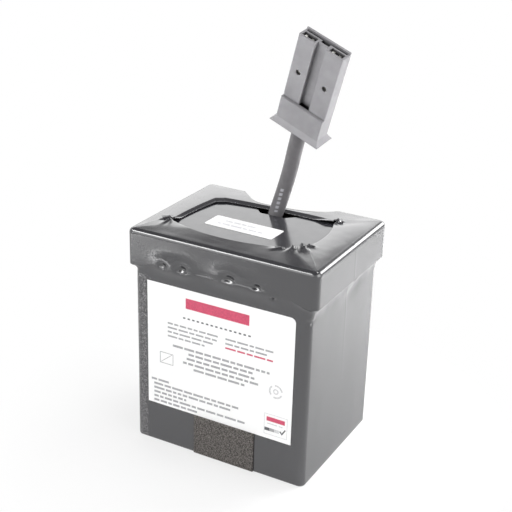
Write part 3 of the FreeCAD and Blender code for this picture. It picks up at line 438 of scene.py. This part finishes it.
# The top opening: its corners from the front left, how far its sides bow out, and the points
# where the film is gathered at its corners.
OPENING_CORNERS = ((-35.5, -19.5), (31.0, -17.0), (29.0, 20.0), (-32.0, 18.0))
OPENING_BOWS = (8.0, 3.6, 2.0, 1.2)
GATHERS = ((-38.6, -17.6), (31.0, -15.0), (29.6, 21.0), (-30.4, 16.8))
CORNER_SHARE = 0.07                    # share of each opening side that its corners take
LIP_RISES = (1.0, 0.6, -0.7, -0.65)    # of the opening's lip over the cap's edge, side by side
GATHER_RISES = (0.8, 1.0, 0.3, -0.6)   # the same at the gathers
GATHER_REACH = 5.0
GATHER_CROWN = 0.2
CROWNS = (0.0, 0.4, 0.12, 0.2)         # how far each top strip bulges between edge and lip
# Pleats at the gathers: x, y, heading in degrees, length, half width, height.
PLEATS = ((31.2, -12.4, -24, 4.5, 1.3, 1.0), (29.6, -15.2, -50, 6.5, 1.5, 2.1),
          (27.4, -18.8, -82, 5.5, 1.4, 1.5), (24.0, -22.6, -150, 5.0, 1.3, 0.9),
          (-37.2, -17.8, 172, 3.5, 0.7, 1.3), (-36.8, -18.6, 214, 4.5, 0.8, 1.2),
          (-36.2, -19.4, 262, 6.0, 0.9, 1.0), (-35.6, -19.8, 292, 5.0, 0.8, 0.6),
          (28.6, 20.6, 75, 2.8, 0.6, 1.3), (29.2, 20.4, 38, 3.6, 0.65, 1.6),
          (29.6, 19.8, 2, 3.4, 0.6, 1.3), (29.8, 18.8, -35, 3.2, 0.7, 0.8))
PLEAT_START = (-1.2, 0.3)              # along a pleat: where it begins, and where it is full
PLEAT_FADE = 1.3
CORNER_RADIUS = 3.0
RIM_ROUNDER = 0.3                      # more corner radius round the cap
RIM_EDGE = 2.5                         # radius of the cap's top edge under the film
NOTCH_X, NOTCH_FLOOR, NOTCH_FRONT = -1.4, 13.0, 15.8   # the cap's notch for the cord
SAG, SAG_START = 5.6, 22.5             # the film hangs into the notch behind its lip
SAG_LEFT, SAG_RIGHT = 2.5, 18.0        # how soon it hangs fully from the notch's two edges
BASE_EDGE = 0.8
BASE_FLANGE = 10.0                     # width of the film that is turned in under the base
FLARE_FRONT = 5.5                      # how far under the cap's edge the film meets the wall
FLARE_LEFT = 2.5
FLARE_RIGHT = 9.0
LEDGE_GAP = 0.4                        # of the ledge under the cap's lower edge
LEDGE_RISE = 3.0                       # the ledge is higher and softer along the front
LEDGE_CURVE, LEDGE_LEVEL = 2.6, 1.4    # powers that curve the ledge outward and upward
LIP_ROLL = 0.18                        # radius of the opening's rolled lip
LIP_TURNS = (30, 60, 90, 130, 180)     # angles of its rings
LIP_UNDERLAP = 3.0
PIT_ABOVE, PIT_BELOW = 1.1, 0.8        # a pit's half height over and under its middle
SWELL_SHARE, SWELL_WIDTH, SWELL_HEIGHT = 0.9, 2.6, 5.0   # how the film swells round a pit
SCOOP_DEPTH, SCOOP_Y, SCOOP_Z, SCOOP_SLOPE = 0.45, 12, 85, 1.6   # dent high on the right wall
SEAM_HEIGHT, SEAM_Y = 0.10, 2.0        # fine upright ridge on the right wall
NICK_DEPTH, NICK_Z = 0.9, 84.0         # nick in the near corner
# Waves in the walls: height, size, seed, and their stretch up the wall.
WALL_WAVES = ((0.12, 17, 1, 0.35), (0.02, 6, 2, 0.5))
RIM_WAVE = (0.22, 7, 4)                # height, size and seed of the waves under the cap
EDGE_WAVES = ((0.28, 1.7, 5), (0.16, 0.8, 6))   # and of those down the front left edge
LABEL_PRESS = 0.03                     # the film lies this far back behind the label


def rounded_outline(half_x, half_y, radius):
    """Points and outward normals round a rounded rectangle, from the front's left end."""
    points, normals = [], []
    for side, steps in enumerate(SIDE_STEPS):
        angle = math.radians(90 * side - 90)
        out = np.array((math.cos(angle), math.sin(angle)))
        along = np.array((-out[1], out[0]))
        reach, run = (half_y, half_x) if side % 2 == 0 else (half_x, half_y)
        for step in range(steps):
            offset = (run - radius) * (2 * step / steps - 1)
            points.append(out * reach + along * offset)
            normals.append(out)
        centre = out * (reach - radius) + along * (run - radius)
        for step in range(CORNER_STEPS):
            turn = math.pi / 2 * step / CORNER_STEPS
            normal = out * math.cos(turn) + along * math.sin(turn)
            points.append(centre + normal * radius)
            normals.append(normal)
    return np.array(points), np.array(normals)


def opening_outline():
    """The hole in the film's top: four bowed sides that meet in drawn-out corners."""
    corners = [np.array(corner) for corner in OPENING_CORNERS]

    def on_side(side, share):
        start, end = corners[side], corners[(side + 1) % 4]
        along = (end - start) / np.linalg.norm(end - start)
        out = np.array((along[1], -along[0]))
        return start + (end - start) * share + out * OPENING_BOWS[side] * (1 - (2 * share - 1) ** 2)

    points = []
    for side, steps in enumerate(SIDE_STEPS):
        for step in range(steps):
            share = CORNER_SHARE + (1 - 2 * CORNER_SHARE) * step / steps
            points.append(on_side(side, share))
        following = (side + 1) % 4
        start, end = on_side(side, 1 - CORNER_SHARE), on_side(following, CORNER_SHARE)
        peak = np.array(GATHERS[following]) * 2 - (start + end) / 2
        for step in range(CORNER_STEPS):
            t = step / CORNER_STEPS
            points.append(start * (1 - t) ** 2 + peak * 2 * t * (1 - t) + end * t ** 2)
    return np.array(points)


def flare_drop(normals):
    """How far under the cap's edge the film meets the wall: close on the left, far on the right."""
    lean = normals[:, 0]
    return FLARE_FRONT + np.where(lean > 0, FLARE_RIGHT - FLARE_FRONT,
                                  FLARE_FRONT - FLARE_LEFT) * lean


def wall_rings():
    """Rings from under the base, up the wall, out to the cap's skirt and over its edge."""
    rings = []

    def ring(half, radius, level):
        outline, out = rounded_outline(half[0], half[1], radius)
        rings.append((np.column_stack((outline, np.broadcast_to(level, len(outline)))), out))

    for inset in (BASE_FLANGE, BASE_FLANGE / 2, BASE_EDGE):
        ring(body_half - inset, max(CORNER_RADIUS - inset, 0.6), 0.0)
    for step in range(1, 5):
        turn = math.pi / 2 * step / 4
        inset = BASE_EDGE * (1 - math.sin(turn))
        ring(body_half - inset, CORNER_RADIUS - inset, BASE_EDGE * (1 - math.cos(turn)))
    outline, out = rings[-1]
    soft = smooth(-out[:, 1], 0.9, 1.0) * smooth(np.abs(outline[:, 0]), 42, 30)
    skirt = cap_low[2] - LEDGE_GAP + LEDGE_RISE * soft
    meeting = skirt - flare_drop(out) - LEDGE_RISE * soft
    for share in np.linspace(0, 1, WALL_ROWS + 1)[1:]:
        ring(body_half, CORNER_RADIUS, BASE_EDGE + (meeting - BASE_EDGE) * share)
    for share in np.linspace(0, 1, LEDGE_ROWS + 1)[1:]:
        bulge = share ** LEDGE_CURVE
        ring(body_half + (rim_half - body_half) * bulge, CORNER_RADIUS + RIM_ROUNDER * bulge,
             meeting + (skirt - meeting) * (1 - (1 - share) ** LEDGE_LEVEL))
        swell = (smooth(share, 0, 1) - bulge) * soft * (rim_half[1] - body_half[1])
        rings[-1][0][:, 1] -= swell
    for share in np.linspace(0, 1, SKIRT_ROWS + 1)[1:] ** 1.6:
        ring(rim_half, CORNER_RADIUS + RIM_ROUNDER, skirt + (film_top - RIM_EDGE - skirt) * share)
    for step in range(1, EDGE_ROWS + 1):
        turn = math.pi / 2 * step / EDGE_ROWS
        inset = RIM_EDGE * (1 - math.cos(turn))
        ring(rim_half - inset, max(CORNER_RADIUS + RIM_ROUNDER - inset, 0.8),
             film_top - RIM_EDGE * (1 - math.sin(turn)))
    return rings


def rear_sag(x, y):
    """How far the film hangs between the notch's edges: steep at its left, slow at its right."""
    reach = NOTCH_FLOOR / 2 + y - NOTCH_FRONT
    left, right = np.clip(x - NOTCH_X + reach, 0, None), np.clip(NOTCH_X + reach - x, 0, None)
    hang = SAG * (1 - np.exp(-left / SAG_LEFT)) * (1 - np.exp(-right / SAG_RIGHT))
    return hang * smooth(y, SAG_START, rim_half[1] - 1)


def film_wander(points, size, seed):
    """Smooth noise at each point, for waves in the film."""
    offset = Vector((seed * 7.3, seed * 3.1, seed * 5.7))
    return np.array([noise.noise(Vector(point) / size + offset) for point in points])


def film_walls(points, normals):
    """Press pits, creases and slack into the film's walls, and hang its rear edge."""
    x, y, z = points.T
    front = smooth(-y, 34.5, 35.4) * smooth(np.abs(x), 47, 43)
    push = np.zeros(len(points))
    for pit_x, pit_z, depth, half_width, half_height in FRONT_PITS:
        height = np.where(z > pit_z, half_height * PIT_ABOVE, half_height * PIT_BELOW)
        push -= front * depth * bell(x, pit_x, half_width) * bell(z, pit_z, height)
        push += front * (depth - FILM_ROOM) * SWELL_SHARE * bell(
            x, pit_x, half_width * SWELL_WIDTH) * bell(z, pit_z, SWELL_HEIGHT)
    right = smooth(x, 43, 45.4) * smooth(np.abs(y), 35.5, 33)
    scoop = bell(y - SCOOP_Y - (z - SCOOP_Z) * SCOOP_SLOPE, 0, 8) * bell(z, SCOOP_Z - 0.5, 5.0)
    push -= right * SCOOP_DEPTH * scoop
    push += right * SEAM_HEIGHT * bell(y, SEAM_Y, 0.35) * smooth(z, 20, 90)
    nick = bell(np.hypot(x - body_half[0], y + body_half[1]), 0, 3.2) * bell(z, NICK_Z, 0.9)
    push -= NICK_DEPTH * nick
    walls = smooth(z, 1, 6) * smooth(z, film_top - 1, film_top - 4)
    for height, size, seed, stretch in WALL_WAVES:
        push += walls * height * film_wander(points * (1, 1, stretch), size, seed)
    height, size, seed = RIM_WAVE
    push += height * bell(z, 87, 4) * film_wander(points, size, seed)
    left_edge = bell(x, -43.5, 3.2) * front * smooth(z, 0.8, 3) * smooth(z, 87, 84)
    push += left_edge * sum(height * film_wander(points, size, seed)
                            for height, size, seed in EDGE_WAVES)
    behind_label = front * smooth(x, label_low[0] - 1, label_low[0]) * smooth(
        x, label_high[0] + 1, label_high[0]) * smooth(z, label_high[2] + 1.5, label_high[2] + 0.3)
    push = push * (1 - behind_label) + np.minimum(push, -LABEL_PRESS) * behind_label
    push = np.maximum(push, -FILM_ROOM)
    sink = smooth(z, cap_low[2], film_top) * rear_sag(x, y)
    moved = points + normals * push[:, None]
    moved[:, 2] -= sink
    return moved


def by_column(levels, corner_levels):
    """A value for each column of the film: one for each side, and one for each gather."""
    values = []
    for side, steps in enumerate(SIDE_STEPS):
        run = 2 * (rim_half[0] if side % 2 == 0 else rim_half[1]) * 0.7
        for step in range(steps):
            end = side if step < steps / 2 else (side + 1) % 4
            away = min(step, steps - step) / steps * run
            near = math.exp(-(away / GATHER_REACH) ** 2)
            values.append(levels[side] * (1 - near) + corner_levels[end] * near)
        values += [corner_levels[(side + 1) % 4]] * CORNER_STEPS
    return np.array(values)


def pleats(x, y):
    """Sharp ridges that run out from the gathers."""
    rise = np.zeros(len(x))
    for from_x, from_y, heading, length, half_width, height in PLEATS:
        turn = math.radians(heading)
        dx, dy = x - from_x, y - from_y
        along = dx * math.cos(turn) + dy * math.sin(turn)
        across = np.abs(dy * math.cos(turn) - dx * math.sin(turn))
        width = half_width * (1 + np.clip(along, 0, None) / length)
        fade = smooth(along, *PLEAT_START) * np.exp(
            -(np.clip(along, 0, None) / length * PLEAT_FADE) ** 2)
        rise = np.maximum(rise, height * np.clip(1 - across / width, 0, None) * fade)
    return rise


def film_roof(outer, opening, share):
    """One ring of the film's top, from the cap's edge at 0 to the opening's lip at 1."""
    flat = outer[:, :2] * (1 - share) + opening * share
    x, y = flat.T
    rise = by_column(LIP_RISES, GATHER_RISES)
    z = film_top + rise * np.where(rise > 0, share, smooth(share, 0.82, 1.0))
    z += by_column(CROWNS, (GATHER_CROWN,) * 4) * 4 * share * (1 - share)
    z += pleats(x, y) * smooth(share, 0.1, 0.5)
    wander = film_wander(np.column_stack((flat * (1.0, 1.3), np.zeros(len(flat)))), 15, 8)
    fine = film_wander(np.column_stack((flat, np.zeros(len(flat)))), 5, 9)
    z += (0.08 * wander + 0.02 * fine) * smooth(share, 0, 0.3)
    z -= rear_sag(x, y)
    return np.column_stack((flat, z))


def shrink_sleeve():
    """Film over the whole block: open below and above, puckered round the top opening."""
    columns = sum(SIDE_STEPS) + 4 * CORNER_STEPS
    rings = wall_rings()
    points = np.vstack([points for points, out in rings])
    normals = np.vstack([np.column_stack((out, np.zeros(columns))) for points, out in rings])
    walls = film_walls(points, normals)
    outer = walls[-columns:]
    opening = opening_outline()
    roof = [film_roof(outer, opening, share)
            for share in np.linspace(0, 1, ROOF_ROWS + 1)[1:]]
    lip = roof[-1]
    inward = np.roll(opening, -1, axis=0) - np.roll(opening, 1, axis=0)
    inward = np.column_stack((-inward[:, 1], inward[:, 0])) / np.linalg.norm(
        inward, axis=1)[:, None]
    for turn in LIP_TURNS:
        angle = math.radians(turn)
        ring = lip.copy()
        ring[:, :2] += inward * LIP_ROLL * math.sin(angle)
        ring[:, 2] -= LIP_ROLL * (1 - math.cos(angle))
        roof.append(ring)
    under = roof[-1].copy()
    under[:, :2] -= inward * LIP_UNDERLAP
    roof.append(under)
    points = np.vstack([walls] + roof)
    rows = len(points) // columns
    sleeve = add_piece("shrink_film", points, grid_faces(rows, columns), finishes["black_film"])
    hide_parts("shrink_sleeve")
    return sleeve


# ---------------------------------------------------------------- print

# Print is laid out in millimetres of the label's face: across from its middle, up from the base.
PRINT_PROUD = 0.04
HEADING_BAR = (-17.6, 75.4, 33.2, 5.2)           # left, low, width, height
SYMBOL_FRAME = ((-31.8, 43.7, 7.4, 0.3), (-31.8, 49.3, 7.4, 0.3),
                (-31.8, 44.0, 0.3, 5.3), (-24.7, 44.0, 0.3, 5.3))
SYMBOL_STROKE = [(-31.3, 44.3), (-30.9, 44.3), (-24.9, 49.2), (-25.3, 49.2)]
ROUND_SYMBOL = (30.1, 46.2)
SEAL_FRAME = ((24.7, 23.1, 11.9, 0.2), (24.7, 33.7, 11.9, 0.2),
              (24.7, 23.3, 0.2, 10.4), (36.4, 23.3, 0.2, 10.4))
SEAL_BAR = (25.9, 30.2, 9.4, 2.2)
SEAL_TICK = [(32.6, 26.2), (33.2, 26.6), (33.9, 25.7), (35.4, 28.0), (35.9, 27.7), (34.0, 24.6)]
COLUMN_TOP = 65.2                      # height of the first line of the two columns of print
LEFT_COLUMN, RIGHT_COLUMN = -27.4, 3.6
GREY_INK = (0.36, 0.36, 0.37)
PALE_INK = (0.62, 0.62, 0.63)
RED_INK = (0.58, 0.07, 0.14)
DARK_INK = (0.10, 0.10, 0.11)
STICKER_INK = (0.66, 0.66, 0.69)
STICKER_TURN = -1.5                    # degrees


def flat_shapes(name, shapes, material, place):
    """Thin printed shapes: each a closed outline of (across, up), set on a face by place."""
    points, faces = [], []
    for outline in shapes:
        first, count = len(points), len(outline)
        for lift in (0.0, PRINT_PROUD):
            points += [place(across, up, lift) for across, up in outline]
        faces.append(tuple(range(first + count, first + 2 * count)))
        faces.append(tuple(range(first + count - 1, first - 1, -1)))
        for i in range(count):
            j = (i + 1) % count
            faces.append((first + i, first + j, first + count + j, first + count + i))
    return add_piece(name, points, faces, material, smooth_shading=False)


def bar(left, low, width, height):
    """Outline of an upright rectangle."""
    return [(left, low), (left + width, low), (left + width, low + height), (left, low + height)]


def ring_segment(x, y, inner, outer, start, end, steps=8):
    """Part of a ring between two angles in degrees."""
    turns = [math.radians(start + (end - start) * i / steps) for i in range(steps + 1)]
    outside = [(x + outer * math.cos(turn), y + outer * math.sin(turn)) for turn in turns]
    inside = [(x + inner * math.cos(turn), y + inner * math.sin(turn)) for turn in turns]
    return outside + inside[::-1]


def line_of_words(left, low, width, height, rng, gap=0.8):
    """A line of print as a row of bars of uneven length."""
    bars, at = [], left
    while at < left + width - 1:
        word = min(rng.uniform(1.8, 6.0), left + width - at)
        bars.append(bar(at, low, word, height))
        at += word + gap
    return bars


def on_label(across, up, lift):
    """Place on the front label's face."""
    return across, label_low[1] - lift, up


def label_print():
    """Generic print on the front label: fields and bars where such a label has its text."""
    rng = random.Random(4)
    grey, red, dark, pale = [], [], [], []
    red.append(bar(*HEADING_BAR))
    for i in range(15):
        dark.append(bar(-19.0 + i * 2.45, 70.0, 1.25, 0.75))
    for row in range(4):
        grey += line_of_words(LEFT_COLUMN, COLUMN_TOP - row * 2.2, (27, 28, 26, 20)[row], 0.85, rng)
    for row in range(2):
        grey += line_of_words(RIGHT_COLUMN, COLUMN_TOP - row * 2.3, (24.5, 23)[row], 0.85, rng)
    red += line_of_words(RIGHT_COLUMN, 60.7, 24.5, 0.8, rng)
    for row, half in enumerate((25.6, 17.0, 18.0, 20.0, 14.2)):
        grey += line_of_words(1.0 - half, 54.0 - row * 2.45, 2 * half, 1.1, rng)
    for row, width in enumerate((10, 48, 42, 18, 50, 24)):
        left = -36.6 if row == 0 else -35.2
        grey += line_of_words(left, 33.4 - row * 2.25, width, 1.05, rng)
    grey += [bar(*edge) for edge in SYMBOL_FRAME]
    grey.append(SYMBOL_STROKE)
    for start in (10, 130, 250):
        pale.append(ring_segment(*ROUND_SYMBOL, 2.7, 3.5, start, start + 90))
    pale.append(ring_segment(*ROUND_SYMBOL, 0.8, 1.4, 0, 359, steps=24))
    pale += [bar(*edge) for edge in SEAL_FRAME]
    red.append(bar(*SEAL_BAR))
    pale += line_of_words(26.2, 28.6, 8.0, 0.5, rng)
    for i in range(6):
        (dark if i < 2 else grey if i < 4 else pale).append(bar(25.0 + i * 1.25, 25.0, 1.25, 1.6))
    dark.append(SEAL_TICK)
    for name, shapes, color in (("label_grey_print", grey, GREY_INK),
                                ("label_pale_print", pale, PALE_INK),
                                ("label_red_print", red, RED_INK),
                                ("label_dark_print", dark, DARK_INK)):
        flat_shapes(name, shapes, ink_finish(name + "_ink", color), on_label)


def sticker_print():
    """Two faint lines of print on the deck sticker."""
    rng = random.Random(9)
    middle = (sticker_low + sticker_high) / 2
    turn = math.radians(STICKER_TURN)

    def on_sticker(across, up, lift):
        return (middle[0] + across * math.cos(turn) - up * math.sin(turn),
                middle[1] + across * math.sin(turn) + up * math.cos(turn),
                sticker_high[2] + lift)

    lines = line_of_words(-11, 1.4, 16, 1.2, rng) + line_of_words(-13, -2.6, 24, 1.2, rng)
    flat_shapes("sticker_print", lines, ink_finish("sticker_ink", STICKER_INK), on_sticker)


# ---------------------------------------------------------------- foam pad

PAD_STEPS = (96, 62)                   # quads across and up
PAD_EDGE, PAD_ROUND = 0.94, 0.35       # where the pad's face starts to round off, and how much
PAD_ROUGH = ((0.9, 0), (2.2, 5))       # frequency and offset of the noise in its cut face
PAD_DEPTH = 0.05


def foam_pad():
    """Soft pad: rounded, slightly crowned, with a rough cut surface."""
    size = pad_high - pad_low
    middle = (pad_high + pad_low) / 2
    across, upward = PAD_STEPS
    points, faces = [], []
    for layer in range(2):
        for row in range(upward + 1):
            for column in range(across + 1):
                u, v = column / across * 2 - 1, row / upward * 2 - 1
                edge = max(abs(u), abs(v))
                face = 0.0
                if layer == 1:
                    face = 1 - PAD_ROUND * smooth(edge, PAD_EDGE, 1.0)
                    face += sum(PAD_DEPTH * noise.noise(
                        Vector((u * size[0], v * size[2], offset)) * frequency)
                        for frequency, offset in PAD_ROUGH)
                points.append((middle[0] + u * size[0] / 2, pad_high[1] - face * size[1],
                               middle[2] + v * size[2] / 2))
    wide = across + 1
    layer_size = wide * (upward + 1)
    for row in range(upward):
        for column in range(across):
            a = row * wide + column
            faces.append((a, a + wide, a + wide + 1, a + 1))
            b = a + layer_size
            faces.append((b, b + 1, b + wide + 1, b + wide))
    border = [row * wide + column for row, column in
              [(0, c) for c in range(wide)] + [(r, across) for r in range(1, upward + 1)]
              + [(upward, c) for c in range(across - 1, -1, -1)]
              + [(r, 0) for r in range(upward - 1, 0, -1)]]
    for i, start in enumerate(border):
        end = border[(i + 1) % len(border)]
        faces.append((start, end, end + layer_size, start + layer_size))
    piece = add_piece("foam_strip", points, faces, finishes["foam"])
    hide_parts("foam_pad")
    return piece


# ---------------------------------------------------------------- connector

MOUTH = next(mount for mount in frame["record"]["mounts"] if mount["name"] == "mating_end")
PLUG_AXIS = np.array(MOUTH["axis"])    # the connector's length, towards its mouth
CONTACT_HALF = 12.0                    # half a contact's length
TONGUE_SHEET = 0.2
# Tongues of one contact: place across it, width, how far its fold stays below the others'.
TONGUES = ((-1.72, 1.2, 0.1), (-0.1, 1.0, 0.9), (1.72, 1.2, -0.2))
TONGUE_START, TONGUE_BEND = -0.55, 0.52   # its place behind the contact's middle, its radius
TONGUE_RISE = 0.9                      # of the folds over the contact's end
TONGUE_ROOT, TONGUE_TIP = -6.0, -2.6   # heights of its two ends under that
TONGUE_SPRING = 0.15                   # how far its tip springs back
BEND_STEPS = 8


def contact_tongues():
    """Spring tongues folded over in the open end of each contact."""
    middles = [sum(mm_box(name)) / 2 for name in ("negative_contact", "positive_contact")]
    across = middles[1] - middles[0]
    across /= np.linalg.norm(across)
    back = np.cross(PLUG_AXIS, across)
    points, faces = [], []
    for middle in middles:
        for place, width, depth in TONGUES:
            path = [(TONGUE_START, TONGUE_ROOT)]
            for step in range(BEND_STEPS + 1):
                angle = math.pi * step / BEND_STEPS
                path.append((TONGUE_START + TONGUE_BEND * (1 - math.cos(angle)),
                             TONGUE_BEND * (math.sin(angle) - 1) - depth))
            path.append((path[-1][0] - TONGUE_SPRING, TONGUE_TIP - depth))
            first = len(points)
            for i, (y, z) in enumerate(path):
                before, after = path[max(i - 1, 0)], path[min(i + 1, len(path) - 1)]
                run = np.array((after[0] - before[0], after[1] - before[1]))
                run /= np.linalg.norm(run)
                for side, sheet in ((-1, -1), (1, -1), (1, 1), (-1, 1)):
                    off = sheet * TONGUE_SHEET / 2
                    points.append(middle + across * (place + side * width / 2)
                                  + back * (y - run[1] * off)
                                  + PLUG_AXIS * (CONTACT_HALF + z + run[0] * off + TONGUE_RISE))
            faces += [tuple(first + corner for corner in face)
                      for face in grid_faces(len(path), 4)]
            last = first + (len(path) - 1) * 4
            faces += [(first + 3, first + 2, first + 1, first), tuple(range(last, last + 4))]
    return add_piece("contact_tongues", points, faces, finishes["silver_contact"],
                     smooth_shading=False)


# ---------------------------------------------------------------- cord

def cord(tongues):
    """The short stiff cord, from the cap's notch to the connector."""
    curve = bpy.data.curves.new("supply_cord", "CURVE")
    curve.dimensions = "3D"
    curve.bevel_depth = CORD_DIAMETER / 2 * MM
    curve.bevel_resolution = 8
    curve.resolution_u = 24
    spline = curve.splines.new("NURBS")
    spline.points.add(len(CORD_ROUTE) - 1)
    for point, place in zip(spline.points, CORD_ROUTE):
        point.co = (*(part * MM for part in place), 1)
    spline.order_u = 3
    spline.use_endpoint_u = True
    curve.use_fill_caps = True
    curve.materials.append(finishes["cord_vinyl"])
    piece = bpy.data.objects.new("supply_cord", curve)
    bpy.context.scene.collection.objects.link(piece)
    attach(piece, "root")
    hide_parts("cord_jacket")
    return piece


# ---------------------------------------------------------------- surroundings

def aim(obj, target):
    """Turn a lamp towards a point."""
    direction = Vector(target) - obj.location
    obj.rotation_euler = direction.to_track_quat("-Z", "Y").to_euler()


def lamp(name, place, target, width, height, radiance, spread=180):
    """Softbox of that surface brightness: 1 shows as white."""
    light = bpy.data.lights.new(name, "AREA")
    light.shape = "RECTANGLE"
    light.size, light.size_y = width, height
    light.energy = radiance * math.pi * width * height
    light.spread = math.radians(spread)
    obj = bpy.data.objects.new(name, light)
    bpy.context.scene.collection.objects.link(obj)
    obj.location = place
    aim(obj, target)
    return obj


def shows_background(tree):
    """1 for camera, glossy and transmission rays, which see the white background."""
    path = tree.nodes.new("ShaderNodeLightPath")
    total = None
    for ray in ("Is Camera Ray", "Is Glossy Ray", "Is Transmission Ray"):
        if total is None:
            total = path.outputs[ray]
            continue
        either = tree.nodes.new("ShaderNodeMath")
        either.operation = "MAXIMUM"
        tree.links.new(total, either.inputs[0])
        tree.links.new(path.outputs[ray], either.inputs[1])
        total = either.outputs[0]
    return total


WALL_TOP = 0.47          # height of the direction where the white wall ends, as a sine
CEILING_START = 0.62
CEILING_LEVEL = 0.2      # brightness of the ceiling in reflections
AROUND_LEVEL = 0.4       # even light that falls on the object from all round


def world():
    """White surroundings up to a dark ceiling, and a plain even light from all round."""
    made = bpy.data.worlds.new("studio")
    made.use_nodes = True
    bpy.context.scene.world = made
    tree = made.node_tree
    background = tree.nodes["Background"]
    background.inputs["Color"].default_value = (1, 1, 1, 1)
    direction = tree.nodes.new("ShaderNodeTexCoord")
    height = tree.nodes.new("ShaderNodeSeparateXYZ")
    tree.links.new(direction.outputs["Generated"], height.inputs[0])
    wall = tree.nodes.new("ShaderNodeMapRange")
    wall.inputs["From Min"].default_value = WALL_TOP
    wall.inputs["From Max"].default_value = CEILING_START
    wall.inputs["To Min"].default_value = 1.0
    wall.inputs["To Max"].default_value = CEILING_LEVEL
    tree.links.new(height.outputs["Z"], wall.inputs["Value"])
    strength = tree.nodes.new("ShaderNodeMix")
    strength.inputs["A"].default_value = AROUND_LEVEL
    tree.links.new(shows_background(tree), strength.inputs["Factor"])
    tree.links.new(wall.outputs[0], strength.inputs["B"])
    tree.links.new(strength.outputs[0], background.inputs["Strength"])


FLOOR_REACH = 6.0
FLOOR_COLOR = (0.8, 0.8, 0.8, 1)
NEAR_FLOOR = (0.05, 0.13)              # distances from the object's middle over which the floor
SHADOW_SHARE = 0.6                     # turns from this share of white to plain white
MIRRORED_SHARE = 0.6                   # share of white that reflections of the floor have


def floor():
    """Wide pale floor: plain white away from the object, with the object's shadow near it."""
    steps = 96
    points, faces = [(0, 0, 0)], []
    for turn in range(steps):
        angle = 2 * math.pi * turn / steps
        points.append((FLOOR_REACH * math.cos(angle), FLOOR_REACH * math.sin(angle), 0))
        faces.append((0, turn + 1, (turn + 1) % steps + 1))
    mesh = bpy.data.meshes.new("studio_floor")
    mesh.from_pydata(points, [], faces)
    made = bpy.data.objects.new("studio_floor", mesh)
    bpy.context.scene.collection.objects.link(made)
    paint = bpy.data.materials.new("studio_floor_paint")
    paint.use_nodes = True
    tree = paint.node_tree
    tree.nodes.clear()
    diffuse = tree.nodes.new("ShaderNodeBsdfDiffuse")
    diffuse.inputs["Color"].default_value = FLOOR_COLOR
    white = tree.nodes.new("ShaderNodeEmission")
    white.inputs["Strength"].default_value = 1.0
    near = tree.nodes.new("ShaderNodeMapRange")
    distance = tree.nodes.new("ShaderNodeVectorMath")
    distance.operation = "LENGTH"
    place = tree.nodes.new("ShaderNodeTexCoord")
    tree.links.new(place.outputs["Object"], distance.inputs[0])
    tree.links.new(distance.outputs["Value"], near.inputs["Value"])
    near.inputs["From Min"].default_value = NEAR_FLOOR[0]
    near.inputs["From Max"].default_value = NEAR_FLOOR[1]
    near.inputs["To Min"].default_value = SHADOW_SHARE
    near.inputs["To Max"].default_value = 1.0
    path = tree.nodes.new("ShaderNodeLightPath")
    share = tree.nodes.new("ShaderNodeMix")
    tree.links.new(path.outputs["Is Camera Ray"], share.inputs["Factor"])
    tree.links.new(near.outputs[0], share.inputs["B"])
    mirrored = tree.nodes.new("ShaderNodeMath")
    mirrored.operation = "MULTIPLY"
    mirrored.inputs[1].default_value = MIRRORED_SHARE
    tree.links.new(shows_background(tree), mirrored.inputs[0])
    tree.links.new(mirrored.outputs[0], share.inputs["A"])
    mix = tree.nodes.new("ShaderNodeMixShader")
    tree.links.new(share.outputs[0], mix.inputs["Fac"])
    tree.links.new(diffuse.outputs[0], mix.inputs[1])
    tree.links.new(white.outputs[0], mix.inputs[2])
    output = tree.nodes.new("ShaderNodeOutputMaterial")
    tree.links.new(mix.outputs[0], output.inputs["Surface"])
    mesh.materials.append(paint)


def lights():
    """Softboxes round the object, and two lamps that only light the floor it mirrors."""
    middle = (0, 0, 0.08)
    lamp("right_softbox", (0.85, -0.05, 0.35), middle, 0.8, 0.7, 3.0)
    lamp("rear_panel", (-0.62, 1.02, 0.50), middle, 1.35, 0.46, 1.75)
    lamp("front_fill", (-0.35, -0.95, 0.45), middle, 0.9, 0.6, 1.3)
    lamp("front_strip", (-0.68, -0.62, 0.85), middle, 0.80, 0.22, 13.0)
    lamp("rear_right_panel", (0.42, 0.85, 0.40), middle, 0.50, 0.34, 9.0)
    lamp("right_floor_lamp", (0.18, 0.22, 0.50), (0.15, 0.19, 0), 0.2, 0.2, 9.0, spread=55)
    lamp("left_floor_lamp", (-0.27, -0.28, 0.30), (-0.27, -0.28, 0), 0.10, 0.20, 14.0, spread=45)


# The camera in degrees and millimetres: turned to the right of the front, above the horizon.
CAMERA_TURN = 28.20
CAMERA_RISE = 23.17
CAMERA_ROLL = 1.69
CAMERA_TARGET = (-0.88, -0.47, 92.63)
CAMERA_DISTANCE = 519.76
CAMERA_LENS = 77.85


def camera():
    """Camera that looks at the object from its front right, a little above."""
    turn, rise = math.radians(CAMERA_TURN), math.radians(CAMERA_RISE)
    back = Vector((math.sin(turn) * math.cos(rise), -math.cos(turn) * math.cos(rise),
                   math.sin(rise)))
    data = bpy.data.cameras.new("camera")
    data.lens = CAMERA_LENS
    data.sensor_width = 36
    made = bpy.data.objects.new("camera", data)
    bpy.context.scene.collection.objects.link(made)
    level = back.to_track_quat("Z", "Y").to_matrix()
    roll = Matrix.Rotation(math.radians(CAMERA_ROLL), 3, "Z")
    made.matrix_world = Matrix.Translation(
        (Vector(CAMERA_TARGET) + back * CAMERA_DISTANCE) * MM) @ (level @ roll).to_4x4()
    bpy.context.scene.camera = made


def keep_sizes():
    """Only defines a helper that turns a box's corners into plain numbers; it notes nothing."""
    def plain(bounds):
        return [[float(part) for part in corner] for corner in bounds]


dress_nodes()
cord(contact_tongues())
shrink_sleeve()
label_print()
sticker_print()
foam_pad()
world()
floor()
lights()
camera()
bpy.context.scene.view_settings.view_transform = "Standard"
keep_sizes()
